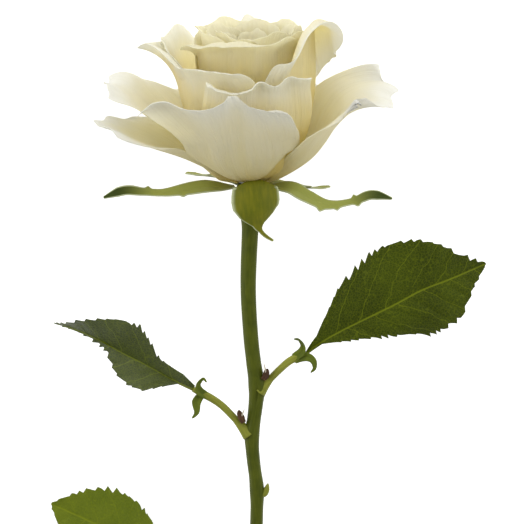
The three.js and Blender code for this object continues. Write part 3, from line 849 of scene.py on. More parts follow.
# ---------- The seat, and how a surface becomes a piece ----------
@dataclass
class Workshop:
    """Where everything is built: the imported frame, its seat, and the shared effects and materials."""

    frame: dict
    effects: Effects
    seat: np.ndarray = field(init=False)
    materials: dict[str, bpy.types.Material] = field(default_factory=dict)

    SEAT_BAND = 0.0004
    SOFT = 1.5

    def __post_init__(self) -> None:
        """Finds the seat: the middle of the stem's highest ring."""
        stem = self.frame["nodes"]["stem"].data
        points = np.zeros(len(stem.vertices) * 3)
        stem.vertices.foreach_get("co", points)
        points = points.reshape(-1, 3)
        top = points[points[:, 1] > points[:, 1].max() - self.SEAT_BAND]
        self.seat = (top.min(0) + top.max(0)) / 2

    @property
    def table(self) -> float:
        """The table's height below the seat, in millimetres."""
        return -self.seat[2] / MM

    def dress(self, finish: Finish) -> bpy.types.Material:
        """A finish's material, built once.

        Args:
            finish: the finish.

        Returns:
            Its material.
        """
        if finish.name not in self.materials:
            self.materials[finish.name] = finish.material(self.effects)
        return self.materials[finish.name]

    def rest(self, points: np.ndarray, clearance: float) -> np.ndarray:
        """Levels points out smoothly so that none falls below the table.

        A point more than SOFT above its lowest level stays, and a lower one's height over that
        level becomes SOFT times the exponential of how far it is below SOFT, in SOFTs.

        Args:
            points: the points, which are changed.
            clearance: how far they stay above the table.

        Returns:
            The points.
        """
        level = self.table + clearance
        above = points[..., 2] - level - self.SOFT
        lowest = level + self.SOFT * np.exp(np.minimum(above, 0) / self.SOFT)
        points[..., 2] = np.where(above >= 0, points[..., 2], lowest)
        return points

    def make(
        self,
        name: str,
        surface: Surface,
        finish: Finish,
        slot: Slot,
        nodes: Sequence[str] = (),
    ) -> bpy.types.Object:
        """Turns a surface into a piece that rides on the rose.

        Args:
            name: the piece's name.
            surface: its closed surface.
            finish: what it is made of.
            slot: the record's slot for it; not used.
            nodes: the CAD nodes that it stands for.

        Returns:
            The piece, its object at the origin.
        """
        mesh = bpy.data.meshes.new(name)
        mesh.from_pydata((surface.points * MM + self.seat).tolist(), [], surface.faces)
        mesh.attributes.new(PLACE, "FLOAT_VECTOR", "POINT")
        mesh.attributes[PLACE].data.foreach_set("vector", surface.place.astype(np.float32).ravel())
        mesh.shade_smooth()
        mesh.materials.append(self.dress(finish))
        mesh.update()
        piece = bpy.data.objects.new(name, mesh)
        bpy.context.scene.collection.objects.link(piece)
        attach(piece, "root")
        if nodes:
            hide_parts(*nodes)
        log.info("%s: %d points, %d faces", name, len(surface.points), len(surface.faces))
        return piece


# ---------- Petals ----------
@dataclass(frozen=True)
class Petal:
    """One petal as a sheet over s, from claw to rim, and t, from its left margin to its right one.

    azimuth is where it stands round the bloom: 0 faces up from the table, 90 faces +X. rise is its
    midrib as (radius, height) points. width is its widest half width, claw its half width at the hip
    and waist how long it stays narrow. hug is how closely it wraps the axis from claw to rim. flat is
    1 where its cross-section is square to the midrib, 0 where it is square to the axis. edges are how
    far its left and right margins stand off. curl is the angle of its rim's outward roll, as stops
    from left to right, curl_depth how wide the roll is, and lip how much of that hangs straight.
    side_roll gives the angles of its side margins and roll_depth how wide they are. cusp is the
    height of the rim's point and corners how far its corners fall. bank turns it about its midrib.
    flare widens its left and right upper margins and slim narrows its sides. ruffle is how far its
    rim waves, ragged how uneven its outline is, and nicks are small splits in the rim as (t, depth,
    half width), or lobes where the depth is negative.
    """

    azimuth: float
    rise: Sequence[tuple[float, float]]
    width: float
    claw: float = 2.0
    waist: float = 2.2
    hug: Stops = (1, 0.95, 0.85, 0.6)
    flat: float = 1.0
    edges: tuple[float, float] = (0, 0)
    curl: Stops = (20,)
    curl_depth: Stops = (6,)
    lip: float = 0.0
    side_roll: tuple[float, float] = (0, 0)
    roll_depth: tuple[float, float] = (6, 6)
    corners: tuple[float, float] = (0.2, 0.2)
    cusp: float = 2.0
    bank: float = 0.0
    flare: tuple[float, float] = (0, 0)
    slim: tuple[float, float] = (1, 1)
    ruffle: float = 1.0
    ragged: float = 0.5
    nicks: Sequence[tuple[float, float, float]] = ()
    seed: int = 1
    grid: tuple[int, int] = (64, 76)

    MOST_ROLL, LEAST_ARC, LEAST_TURN = 0.5, 0.5, 2e-3  # share of the length, mm, radians
    MOST_SIDE, SIDE_EASE, SIDE_FROM, LEAST_SIDE = 0.6, 1.6, 0.25, 0.1
    STRAIGHT = 1e-4  # the least curvature that an arc is drawn with
    BANK_FROM, BANK_EASE = 0.2, 0.5
    LIFT_EASE = 7  # how soon up the petal its margins stand off
    HIDDEN_EDGE, HIDDEN_STILL = -0.5, 0.7  # a margin under a neighbour, and how much less it waves
    FRILL, MARGIN, SLOW = 0.12, 0.5, 0.22  # how large each kind of wave is beside the rim's
    CUSP_WIDTH = 0.16
    CORNER_POWER = 2.4
    WIDEST = 0.62
    TAPER = 0.12  # the share of the half width that is lost from the widest place to the rim
    FLARE_FROM = 0.6
    FINE_RAGS = 0.14
    ROWS_PACKED = 1.2  # above 1 where rows lie closer toward the rim
    THICK, THIN = 0.5, 0.2

    def _spread(self, s: np.ndarray, t: np.ndarray) -> np.ndarray:
        """The half width: the claw, swelling as a sine to the widest share and then easing in.

        Args:
            s: from claw to rim.
            t: from margin to margin.

        Returns:
            The half widths.
        """
        swell = np.sin(np.pi / 2 * np.minimum(1, s / self.WIDEST)) ** self.waist
        easing = 1 - self.TAPER * np.clip((s - self.WIDEST) / (1 - self.WIDEST), 0, 1) ** 2
        flare = np.where(t < 0, *self.flare) * eased((s - self.FLARE_FROM) / (1 - self.FLARE_FROM))
        side = np.where(t < 0, *self.slim)
        return self.claw + (self.width * side - self.claw) * swell * easing + flare

    def _reach(self, t: np.ndarray, length: float) -> np.ndarray:
        """The length at t: it falls to the corners, rises to the cusp, wanders and has nicks.

        Args:
            t: from margin to margin.
            length: the midrib's own length.

        Returns:
            The lengths.
        """
        fall = np.where(t < 0, *self.corners) * np.abs(t) ** self.CORNER_POWER
        reach = length * (1 - fall) - self.cusp * (1 - np.exp(-((t / self.CUSP_WIDTH) ** 2)))
        fine = waves(t, self.seed + 50, 5, 12)
        reach = reach + self.ragged * (waves(t, self.seed, 0.5, 3.0) + self.FINE_RAGS * fine)
        for at, depth, wide in self.nicks:
            reach = reach - depth * np.exp(-(((t - at) / wide) ** 2))
        return reach

    def sheet(self) -> tuple[np.ndarray, np.ndarray, np.ndarray]:
        """The petal's middle surface.

        Its midrib is carried outward by the azimuth. Each column follows the midrib and ends in an
        arc that turns outward, the rolled rim. Each cross-section is an arc about the axis, then
        the reversed arc of the side margin. Last it moves along its normals by its ruffles.

        Returns:
            The points, each point's t and each point's s.
        """
        rows, columns = self.grid
        s = 1 - (1 - np.linspace(0, 1, rows)) ** self.ROWS_PACKED
        s, t = np.meshgrid(s, np.linspace(-1, 1, columns), indexing="ij")
        midrib = Curve(self.rise)
        length = midrib.length

        def lean_at(y: np.ndarray) -> np.ndarray:
            """The midrib's lean from the axis at distance y."""
            heading = midrib.heading(y)
            return np.arctan2(heading[..., 0], heading[..., 1])

        middle = midrib.at(s * length)
        reach = self._reach(t, length)
        y = s * reach
        depth = np.minimum(along(self.curl_depth, (t + 1) / 2), reach * self.MOST_ROLL)
        arc = np.maximum(depth - self.lip, self.LEAST_ARC)
        covered = np.where(np.where(t < 0, *self.edges) < 0, 1 - np.abs(t), 1)
        roll = np.radians(along(self.curl, (t + 1) / 2)) * covered
        roll = np.maximum(roll, self.LEAST_TURN)
        turn_start = reach - depth
        start, lean = midrib.at(turn_start), lean_at(turn_start)
        radius = arc / roll
        turned = lean + np.minimum(y - turn_start, arc) / radius
        hanging = np.maximum(y - turn_start - arc, 0)
        rolled = y > turn_start
        plain = midrib.at(y)
        arc_r = start[..., 0] + radius * (np.cos(lean) - np.cos(turned)) + hanging * np.sin(turned)
        arc_h = start[..., 1] + radius * (np.sin(turned) - np.sin(lean)) + hanging * np.cos(turned)
        own_r = np.where(rolled, arc_r, plain[..., 0])
        own_h = np.where(rolled, arc_h, plain[..., 1])

        bend = along(self.hug, s) / np.maximum(middle[..., 0], 1)
        half = self._spread(s, t)
        x = np.abs(t) * half
        sign = np.sign(t)
        width = np.minimum(np.where(t < 0, *self.roll_depth), half * self.MOST_SIDE)
        width = width * np.clip(s * self.SIDE_EASE, 0, 1)
        flat_part = half - width
        rolling = np.clip((s - self.SIDE_FROM) / (1 - self.SIDE_FROM), 0, 1)
        side_turn = np.radians(np.where(t < 0, *self.side_roll)) * rolling
        side_curl = side_turn / np.maximum(width, self.LEAST_SIDE)
        inner = np.minimum(x, flat_part)
        angle = bend * inner
        side, drop = np.sin(angle) / bend, -(1 - np.cos(angle)) / bend
        net = side_curl - bend
        net = np.where(np.abs(net) < self.STRAIGHT, self.STRAIGHT, net)
        beyond = np.maximum(x - flat_part, 0)
        after = angle - net * beyond
        side = side + (np.sin(angle) - np.sin(after)) / net
        drop = drop - (np.cos(after) - np.cos(angle)) / net
        angle = after

        phi = math.radians(self.azimuth)
        outward = np.array([math.sin(phi), 0, math.cos(phi)])
        beside = np.array([math.cos(phi), 0, -math.sin(phi)])
        axis = np.array([0, 1.0, 0])
        tilt = (self.flat * lean_at(s * length))[..., None]
        face = outward * np.cos(tilt) - axis * np.sin(tilt)
        banked = np.clip((s - self.BANK_FROM) / self.BANK_EASE, 0, 1)
        bank = (math.radians(self.bank) * banked)[..., None]
        sideways = beside * np.cos(bank) - face * np.sin(bank)
        plane = face * np.cos(bank) + beside * np.sin(bank)
        wrapped = (bend * x * sign)[..., None]
        local = outward * np.cos(wrapped) + beside * np.sin(wrapped)
        normal = plane * np.cos(angle)[..., None] + sideways * (np.sin(angle) * sign)[..., None]
        lift = np.where(t < 0, *self.edges) * np.abs(t) * np.clip(s * self.LIFT_EASE, 0, 1)
        points = (
            outward * middle[..., :1]
            + axis * own_h[..., None]
            + plane * drop[..., None]
            + sideways * (side * sign)[..., None]
            + local * (own_r - middle[..., 0])[..., None]
            + normal * lift[..., None]
        )
        return points + sheet_normals(points) * self._waving(s, t)[..., None], t, s

    def _waving(self, s: np.ndarray, t: np.ndarray) -> np.ndarray:
        """How far each point leaves the plain surface: rim waves, side waves and slow swells.

        Each is a seeded wandering line times the share of the ruffle that it takes, and fades in
        toward the part that it belongs to. A margin that lies under another petal waves less.

        Args:
            s: from claw to rim.
            t: from margin to margin.

        Returns:
            The distances along the normals.
        """
        hidden = np.where(t < 0, *self.edges) < self.HIDDEN_EDGE
        free = np.where(hidden, 1 - self.HIDDEN_STILL * np.abs(t), 1)
        rim = self.ruffle * eased((s - 0.62) / 0.38) * waves(t + 0.15 * s, self.seed + 7, 0.5, 1.9, 4)
        frill = self.FRILL * self.ruffle * eased((s - 0.82) / 0.18)
        frill = frill * waves(t, self.seed + 11, 2.4, 6, 4)
        side = waves(s, self.seed + 13, 1, 3.2, 3)
        margin = self.MARGIN * self.ruffle * np.abs(t) ** 4 * eased((s - 0.3) / 0.5) * side
        slow = self.SLOW * eased(s * 2) * waves(t * 1.1 + s * 0.7, self.seed + 17, 0.5, 1.7, 3)
        return (rim + frill + margin) * free + slow

    def surface(self, workshop: Workshop) -> Surface:
        """The petal as a closed sheet, thick at its claw and thin at its rim, on the table.

        Args:
            workshop: where the table is.

        Returns:
            The surface.
        """
        points, t, s = self.sheet()
        thickness = self.THICK + (self.THIN - self.THICK) * s
        points = workshop.rest(points, self.THICK / 2)
        return closed_sheet(points, thickness, t * self.width, s)


def standing(**own: object) -> Petal:
    """A petal of the upright row, with its own sizes beside the row's."""
    return Petal(**{"claw": 1.7, "waist": 1.8, "hug": (1, 1, 1, 0.9), "flat": 0.0, **own})


def wrapped(**own: object) -> Petal:
    """The pattern of a wrapped row's petals, which is turned to its place later."""
    shared = dict(azimuth=0, waist=1.5, hug=(1, 1), corners=(0.1, 0.1), cusp=1)
    return standing(**shared, **own)


@dataclass(frozen=True)
class Row:
    """A row of wrapped petals: its name, how many, where the first stands, and their pattern."""

    name: str
    count: int
    first: float
    pattern: Petal


@dataclass
class Bloom:
    """The bloom's 26 petals, row by row. special holds what single wrapped petals have of their own."""

    outer: Sequence[Petal] = (
        Petal(
            azimuth=-17.5,
            rise=[
                (4.6, 1.4), (9.5, 3.2), (15, 6), (20, 10.6), (23.5, 17.4), (26, 24), (28, 29),
                (30.2, 31.4),
            ],
            width=25, waist=0.8, hug=(1, 1, 0.95, 0.8), edges=(1.6, 1.6), curl=(60, 55, 8, 12, 40),
            side_roll=(110, 10), roll_depth=(16, 6), corners=(0, 0.15), cusp=0.5, bank=4,
            nicks=((0.17, -4.5, 0.11), (-0.25, 3.2, 0.25), (0.55, 2.5, 0.25)), flare=(17, 0),
            slim=(0.62, 0.95), ruffle=0.7, seed=3, grid=(84, 100),
        ),
        Petal(
            azimuth=84,
            rise=[
                (4.6, 0.4), (9.5, 2.4), (15.5, 6), (20, 9.8), (23.6, 14.5), (27, 20), (31.5, 25),
                (38, 28.2), (44.5, 29.5),
            ],
            width=22.5, waist=1.0, hug=(1, 1.1, 1.3, 1.15), edges=(-0.4, 1.8),
            curl=(75, 70, 60, 20), curl_depth=(11, 9, 8, 6), nicks=((0.5, -4, 0.15), (0, -2, 0.3)),
            side_roll=(20, 10), corners=(0.2, 0.1), cusp=1, bank=13, ruffle=1.3, ragged=0.7,
            seed=21, grid=(84, 90),
        ),
        Petal(
            azimuth=154,
            rise=[(4.6, 0.4), (9.5, 2), (16, 5.4), (22, 10.5), (27, 17), (32, 23), (41, 28)],
            width=20, edges=(1.8, 2.2), corners=(0.25, 0.25), seed=33,
        ),
        Petal(
            azimuth=-108,
            rise=[(4.6, 0.4), (9.5, 3), (15.5, 8), (22.5, 14.5), (29.5, 21), (37, 28), (46, 35)],
            width=28, claw=1.5, curl=(80, 85, 60, 50), curl_depth=(8,), edges=(0.2, -0.2),
            side_roll=(20, 0), corners=(0.3, 0.1), nicks=((-0.6, 4, 0.25), (0.3, -2, 0.2)),
            bank=-8, ruffle=1.6, ragged=0.8, seed=41,
        ),
        Petal(
            azimuth=-89,
            rise=[
                (4.6, 0.4), (9.5, 2.4), (15, 5.6), (21, 8.8), (28, 12), (36, 15.6), (43, 18.6),
                (50, 21),
            ],
            width=20, claw=1.4, waist=3, hug=(1, 1, 1.1, 1), edges=(2, -0.2), curl=(10,),
            side_roll=(10, 15), cusp=2.5, bank=-10, ragged=0.7, seed=59,
        ),
    )
    second: Sequence[Petal] = (
        standing(
            azimuth=6,
            rise=[
                (4, 1.4), (8, 4), (13, 8.4), (18.2, 15.5), (21.2, 23), (23.2, 30), (24.4, 35.5),
                (27, 38.5),
            ],
            width=18, waist=1.0, edges=(1.5, 1.5), curl=(120, 110, 60, 60), curl_depth=(5,),
            side_roll=(10, 45), corners=(-0.05, -0.1), slim=(1, 0.94), seed=62, grid=(76, 84),
        ),
        standing(
            azimuth=74,
            rise=[
                (4, 1.4), (8, 4), (12.5, 8.5), (16.5, 16), (18.6, 24), (19.8, 33), (19.8, 46),
                (19.4, 66.6),
            ],
            width=25, waist=2.2, edges=(-1.4, 0.8), curl=(20, 70, 176, 182, 178),
            curl_depth=(12, 15, 17, 17, 13), lip=8, nicks=((-0.62, 11, 0.2), (-0.05, -1.5, 0.14)),
            corners=(0.45, 0.26), cusp=0, ruffle=0.9, seed=71, grid=(84, 90),
        ),
        standing(
            azimuth=160,
            rise=[
                (4, 1.4), (8, 4), (12.5, 8.5), (16.2, 16), (18.4, 25), (19.2, 34), (20, 43),
                (22.5, 49),
            ],
            width=22, edges=(-1.7, -1.4), curl=(30,), nicks=((0.5, -4, 0.17),),
            corners=(0.08, 0.08), cusp=1, seed=83,
        ),
        standing(
            azimuth=-102,
            rise=[
                (4, 1.4), (8, 4), (12.5, 8.5), (17, 16), (20.2, 25), (23.4, 32), (26, 38), (27, 43),
                (26.5, 48),
            ],
            width=23, nicks=((-0.55, -3.5, 0.22), (0.2, 1.5, 0.3)), edges=(1.2, -3), curl=(30,),
            corners=(0.1, 0.2), cusp=0.5, ruffle=1.2, ragged=0.8, seed=91,
        ),
        standing(
            azimuth=-62,
            rise=[
                (4, 1.4), (8, 4), (12.5, 8.5), (17.2, 15.5), (20.8, 23.5), (22.6, 31), (24, 38),
                (26.5, 42),
            ],
            width=27, waist=2.0, edges=(0.4, 0), curl=(5, 30, 66, 64, 60, 80, 80, 80, 60),
            curl_depth=(6, 12, 19, 13, 7, 6, 6, 6, 5), side_roll=(30, 0),
            nicks=((-0.4, -7.5, 0.3),), corners=(-0.06, -0.02), cusp=0, bank=5, ruffle=0.8,
            seed=104, grid=(84, 96),
        ),
    )
    inner: Sequence[Row] = (
        Row("third_petal", 5, -8, wrapped(
            rise=[
                (3.4, 2.4), (6.8, 6), (10.3, 12), (13.2, 20), (14.7, 29), (15.4, 38), (15.8, 46),
                (17, 52),
            ],
            width=19, claw=1.4, edges=(-1.4, 1.4), curl=(60, 55, 45, 40), curl_depth=(4,),
            ruffle=0.9, ragged=0.6, grid=(56, 64),
        )),
        Row("fourth_petal", 5, 30, wrapped(
            rise=[
                (2.8, 3.4), (5.2, 8), (7.6, 14), (9.8, 22), (11, 31), (11.6, 40), (12, 47),
                (13.6, 51.5),
            ],
            width=14.5, claw=1.1, edges=(-1.1, 1.1), curl=(50, 45, 40), curl_depth=(3,),
            ruffle=0.7, grid=(52, 52),
        )),
        Row("fifth_petal", 4, 80, wrapped(
            rise=[
                (1.9, 4.4), (2.9, 9), (4.4, 15), (6.2, 23), (7.3, 32), (7.8, 41), (8, 46), (9.2, 49),
            ],
            width=10, claw=0.8, edges=(-0.9, 1), curl=(40, 30), curl_depth=(2,),
            ruffle=0.5, ragged=0.4, grid=(48, 44),
        )),
        Row("heart_petal", 2, 140, wrapped(
            rise=[(0.7, 6), (1, 11), (2, 18), (3.2, 28), (3.9, 37), (3.6, 43), (3.4, 46)],
            width=7.6, claw=0.6, edges=(-0.8, 0.8), curl_depth=(1.5,),
            ruffle=0.4, ragged=0.3, grid=(44, 40),
        )),
    )
    special: dict[str, dict[str, object]] = field(
        default_factory=lambda: {
            "third_petal_1": dict(
                rise=[
                    (3.4, 2.4), (6.8, 6), (10.3, 12), (13, 20), (14.4, 29), (15.4, 38), (15.8, 46),
                    (17, 53.5),
                ],
                width=25, edges=(1.6, -0.6), curl=(80, 105, 110, 80), curl_depth=(8,), lip=2,
            ),
            "third_petal_5": dict(edges=(-1.4, -1.2)),
            "third_petal_2": dict(corners=(0.3, 0.1)),
        }
    )

    FIRST_SEED, ROW_SEEDS, PETAL_SEEDS = 200, 40, 7

    def petals(self) -> list[tuple[str, Petal, Spread]]:
        """Every petal, row by row; the wrapped rows' petals are their pattern turned to its place.

        Returns:
            Each petal's name, its sizes and how it opens.
        """
        made = [(f"outer_petal_{k}", p, Spread.OPEN) for k, p in enumerate(self.outer, 1)]
        made += [(f"second_petal_{k}", p, Spread.UPRIGHT) for k, p in enumerate(self.second, 1)]
        for number, row in enumerate(self.inner):
            for k in range(row.count):
                name = f"{row.name}_{k + 1}"
                seed = self.FIRST_SEED + self.ROW_SEEDS * number + self.PETAL_SEEDS * k
                place = dict(azimuth=row.first + 360 / row.count * k, seed=seed)
                petal = replace(row.pattern, **place, **self.special.get(name, {}))
                made.append((name, petal, Spread.WRAPPED))
        return made

    def build(self, workshop: Workshop) -> None:
        """Makes every petal.

        Args:
            workshop: where they are built.
        """
        for name, petal, spread in self.petals():
            surface = petal.surface(workshop)
            workshop.make(name + "_skin", surface, PETAL_FINISHES[spread], Slot.PETAL, [name])


# ---------- Ribbons: sepals, blades and stipules ----------
@dataclass(frozen=True)
class Ribbon:
    """A leaf-like strip along a path, over s from its base to its tip and t across it.

    facing is its upper side at base and tip, and it twists evenly between them. left and right are
    its half widths from base to tip, fold the angle by which both halves rise, droop how far the
    margins sink again. teeth is the number of saw teeth on each margin and bite their depth, lobes
    are side lobes as (s, reach, half length, side), and wave is how far the margins wander up and
    down. quilt is how far the blade swells between its side veins.
    """

    path: Path3
    facing: tuple[tuple[float, float, float], tuple[float, float, float]]
    left: Stops
    right: Stops
    fold: float = 12.0
    droop: float = 0.0
    thickness: tuple[float, float] = (0.6, 0.3)
    teeth: int = 0
    bite: float = 0.0
    lobes: Sequence[tuple[float, float, float, int]] = ()
    wave: float = 0.0
    quilt: float = 0.0
    seed: int = 1
    grid: tuple[int, int] = (90, 21)

    TEETH_FROM, TEETH_EASE = 0.12, 0.3
    TOOTH_EDGE = 6  # the higher, the nearer to the margin the teeth stay
    VEIN_SPACING, VEIN_RISE, VEIN_BEND = 6.4, 0.75, 0.012
    SWELL_POWER, SWELL_MIDDLE = 0.6, 0.7
    THINNING, MARGIN_POWER = 1.5, 9

    def _margin(self, s: np.ndarray, t: np.ndarray) -> np.ndarray:
        """The half width at s: its stops, saw teeth that grow slowly and drop at once, and lobes.

        Args:
            s: from base to tip.
            t: from margin to margin.

        Returns:
            The half widths.
        """
        half = np.where(t < 0, along(self.left, s), along(self.right, s))
        if self.teeth:
            uneven = s + 0.3 / self.teeth * waves(s + np.sign(t), self.seed, 2, 7, 3)
            saw = (uneven * self.teeth) % 1.0
            unlike = 1 + 0.7 * waves(s + 2 * np.sign(t), self.seed + 9, 2, 6, 3)
            depth = self.bite * eased((s - self.TEETH_FROM) / self.TEETH_EASE) * unlike
            half = half + depth * (saw - 0.5) * np.abs(t) ** self.TOOTH_EDGE * eased(half)
        for at, reach, run, side in self.lobes:
            hump = reach * np.exp(-(((s - at) / run) ** 2))
            half = half + np.where(np.sign(t) == side, hump, 0)
        return half

    def surface(self) -> Surface:
        """The ribbon as a closed sheet: both halves rise by the fold and sink at the margins.

        Its swells are a power of a sine whose zeros lie along the side veins.

        Returns:
            The surface.
        """
        rows, columns = self.grid
        s, t = np.meshgrid(np.linspace(0, 1, rows), np.linspace(-1, 1, columns), indexing="ij")
        path = Curve(self.path)
        spine = path.at(s * path.length)
        heading = path.heading(s * path.length)
        first, last = (np.array(f, float) for f in self.facing)
        upper = first + (last - first) * s[..., None]
        upper = unit(upper - (upper * heading).sum(-1, keepdims=True) * heading)
        across = np.cross(heading, upper)
        half = self._margin(s, t) * np.abs(t)
        x = np.sign(t) * half
        rise = half * math.sin(math.radians(self.fold)) - self.droop * half**2
        rise = rise + self.wave * np.abs(t) ** 2 * waves(s + 0.37 * np.sign(t), self.seed + 3, 0.8, 3, 4)
        if self.quilt:
            vein = s * path.length - self.VEIN_RISE * half - self.VEIN_BEND * half**2
            phase = vein / self.VEIN_SPACING + 0.5 * (t > 0)
            swell = np.abs(np.sin(np.pi * (phase + 0.5))) ** self.SWELL_POWER - self.SWELL_MIDDLE
            rise = rise + self.quilt * swell * eased(np.abs(t) * 5) * eased((1 - np.abs(t)) * 4)
        aside = x * math.cos(math.radians(self.fold))
        points = spine + across * aside[..., None] + upper * rise[..., None]
        root, edge = self.thickness
        thickness = root + (edge - root) * np.maximum(np.abs(t), s) ** self.THINNING
        margin = np.abs(t) ** self.MARGIN_POWER
        return closed_sheet(points, thickness, x, s * path.length, margin)


SEPAL_HALF = (2.3, 3.3, 3.5, 3, 2.2, 1.5, 1.3, 1.6, 1.5, 0.3)


@dataclass(frozen=True)
class Sepal:
    """A sepal folded back from the bloom: where it stands, its midrib and its half widths.

    toward is how far the tip's upper side is turned away from the table, droop how far its margins
    sink, which makes a cushion of it, and drift how far the tip wanders to the right.
    """

    azimuth: float
    rise: Sequence[tuple[float, float]]
    toward: float = 0.0
    half: Stops = SEPAL_HALF
    droop: float = 0.0
    drift: float = 0.0
    lobes: Sequence[tuple[float, float, float, int]] = ()
    finish: SkinFinish = SEPAL
    seed: int = 1

    FOLD, WAVE = 12, 0.35
    THICKNESS = (0.75, 0.4)
    GRID = (110, 25)

    def surface(self) -> Surface:
        """The sepal as a ribbon whose upper side turns from the bloom to the tip's side.

        Returns:
            The surface.
        """
        phi = math.radians(self.azimuth)

        def place(r: float, h: float) -> tuple[float, float, float]:
            """A point at radius r and height h in the sepal's own upright plane."""
            return (math.sin(phi) * r, h, math.cos(phi) * r)

        start = self.rise[1][0] - self.rise[0][0]
        drop, run = self.rise[-1][1] - self.rise[-3][1], self.rise[-1][0] - self.rise[-3][0]
        x, y, z = place(-drop, run)
        far = [(k / (len(self.rise) - 1)) ** 4 for k in range(len(self.rise))]
        ribbon = Ribbon(
            path=[np.add(place(*at), (self.drift * f, 0, 0)) for at, f in zip(self.rise, far)],
            facing=(place(0, start), (x, y, z + self.toward * math.hypot(drop, run))),
            left=self.half,
            right=self.half,
            fold=0 if self.droop else self.FOLD,
            droop=self.droop,
            thickness=self.THICKNESS,
            lobes=self.lobes,
            wave=0 if self.droop else self.WAVE,
            seed=self.seed,
            grid=self.GRID,
        )
        return ribbon.surface()


@dataclass
class Calyx:
    """The five sepals under the bloom."""

    sepals: Sequence[Sepal] = (
        Sepal(
            azimuth=8,
            rise=[
                (4.6, 0.2), (7.4, 2.4), (9.8, 2.4), (11.4, -1.5), (11.2, -7), (9, -11.6),
                (7.8, -13.8), (7.6, -15.4), (8.4, -16.8),
            ],
            half=(5.6, 6.2, 6.8, 7.3, 7.6, 7.7, 7.3, 5.6, 1.9, 0.6, 0.45, 0.25),
            drift=5.5, droop=0.06, finish=FRONT_SEPAL, seed=5,
        ),
        Sepal(
            azimuth=82, toward=1,
            rise=[
                (5.6, -1.2), (9, -1.2), (13, -1.6), (18, -4), (24.5, -6.4), (32.5, -5),
                (38.5, -2.6), (45, -3.6),
            ],
            lobes=(
                (0.44, 1.6, 0.022, 1), (0.56, 1.2, 0.018, 1), (0.72, 1.3, 0.02, 1),
                (0.7, 1.0, 0.018, -1),
            ),
            seed=6,
        ),
        Sepal(
            azimuth=128,
            rise=[(5.6, -1.2), (9, -0.9), (15, -1.8), (21, -3.6), (27, -4.6), (32, -4.8)],
            lobes=((0.5, 1.5, 0.03, -1), (0.62, 1.5, 0.03, 1)),
            seed=7,
        ),
        Sepal(
            azimuth=-138,
            rise=[(5.6, -1.2), (9, -0.6), (15, -0.2), (21, -0.4), (27, -1), (32, -1)],
            lobes=((0.45, 1.6, 0.03, -1), (0.58, 1.4, 0.03, 1)),
            seed=8,
        ),
        Sepal(
            azimuth=-84, toward=1,
            rise=[
                (5.6, -1.2), (9, -1.3), (15, -1), (21.5, -1.8), (28, -2.4), (35, -2), (41, -1.6),
                (47.5, -3.4),
            ],
            lobes=((0.4, 1.0, 0.02, -1), (0.66, 0.9, 0.018, 1)),
            seed=9,
        ),
    )

    def build(self, workshop: Workshop) -> None:
        """Makes every sepal.

        Args:
            workshop: where they are built.
        """
        for k, sepal in enumerate(self.sepals, 1):
            surface = sepal.surface()
            surface.points = workshop.rest(surface.points, 0)
            workshop.make(f"sepal_{k}_skin", surface, sepal.finish, Slot.SEPAL, [f"sepal_{k}"])


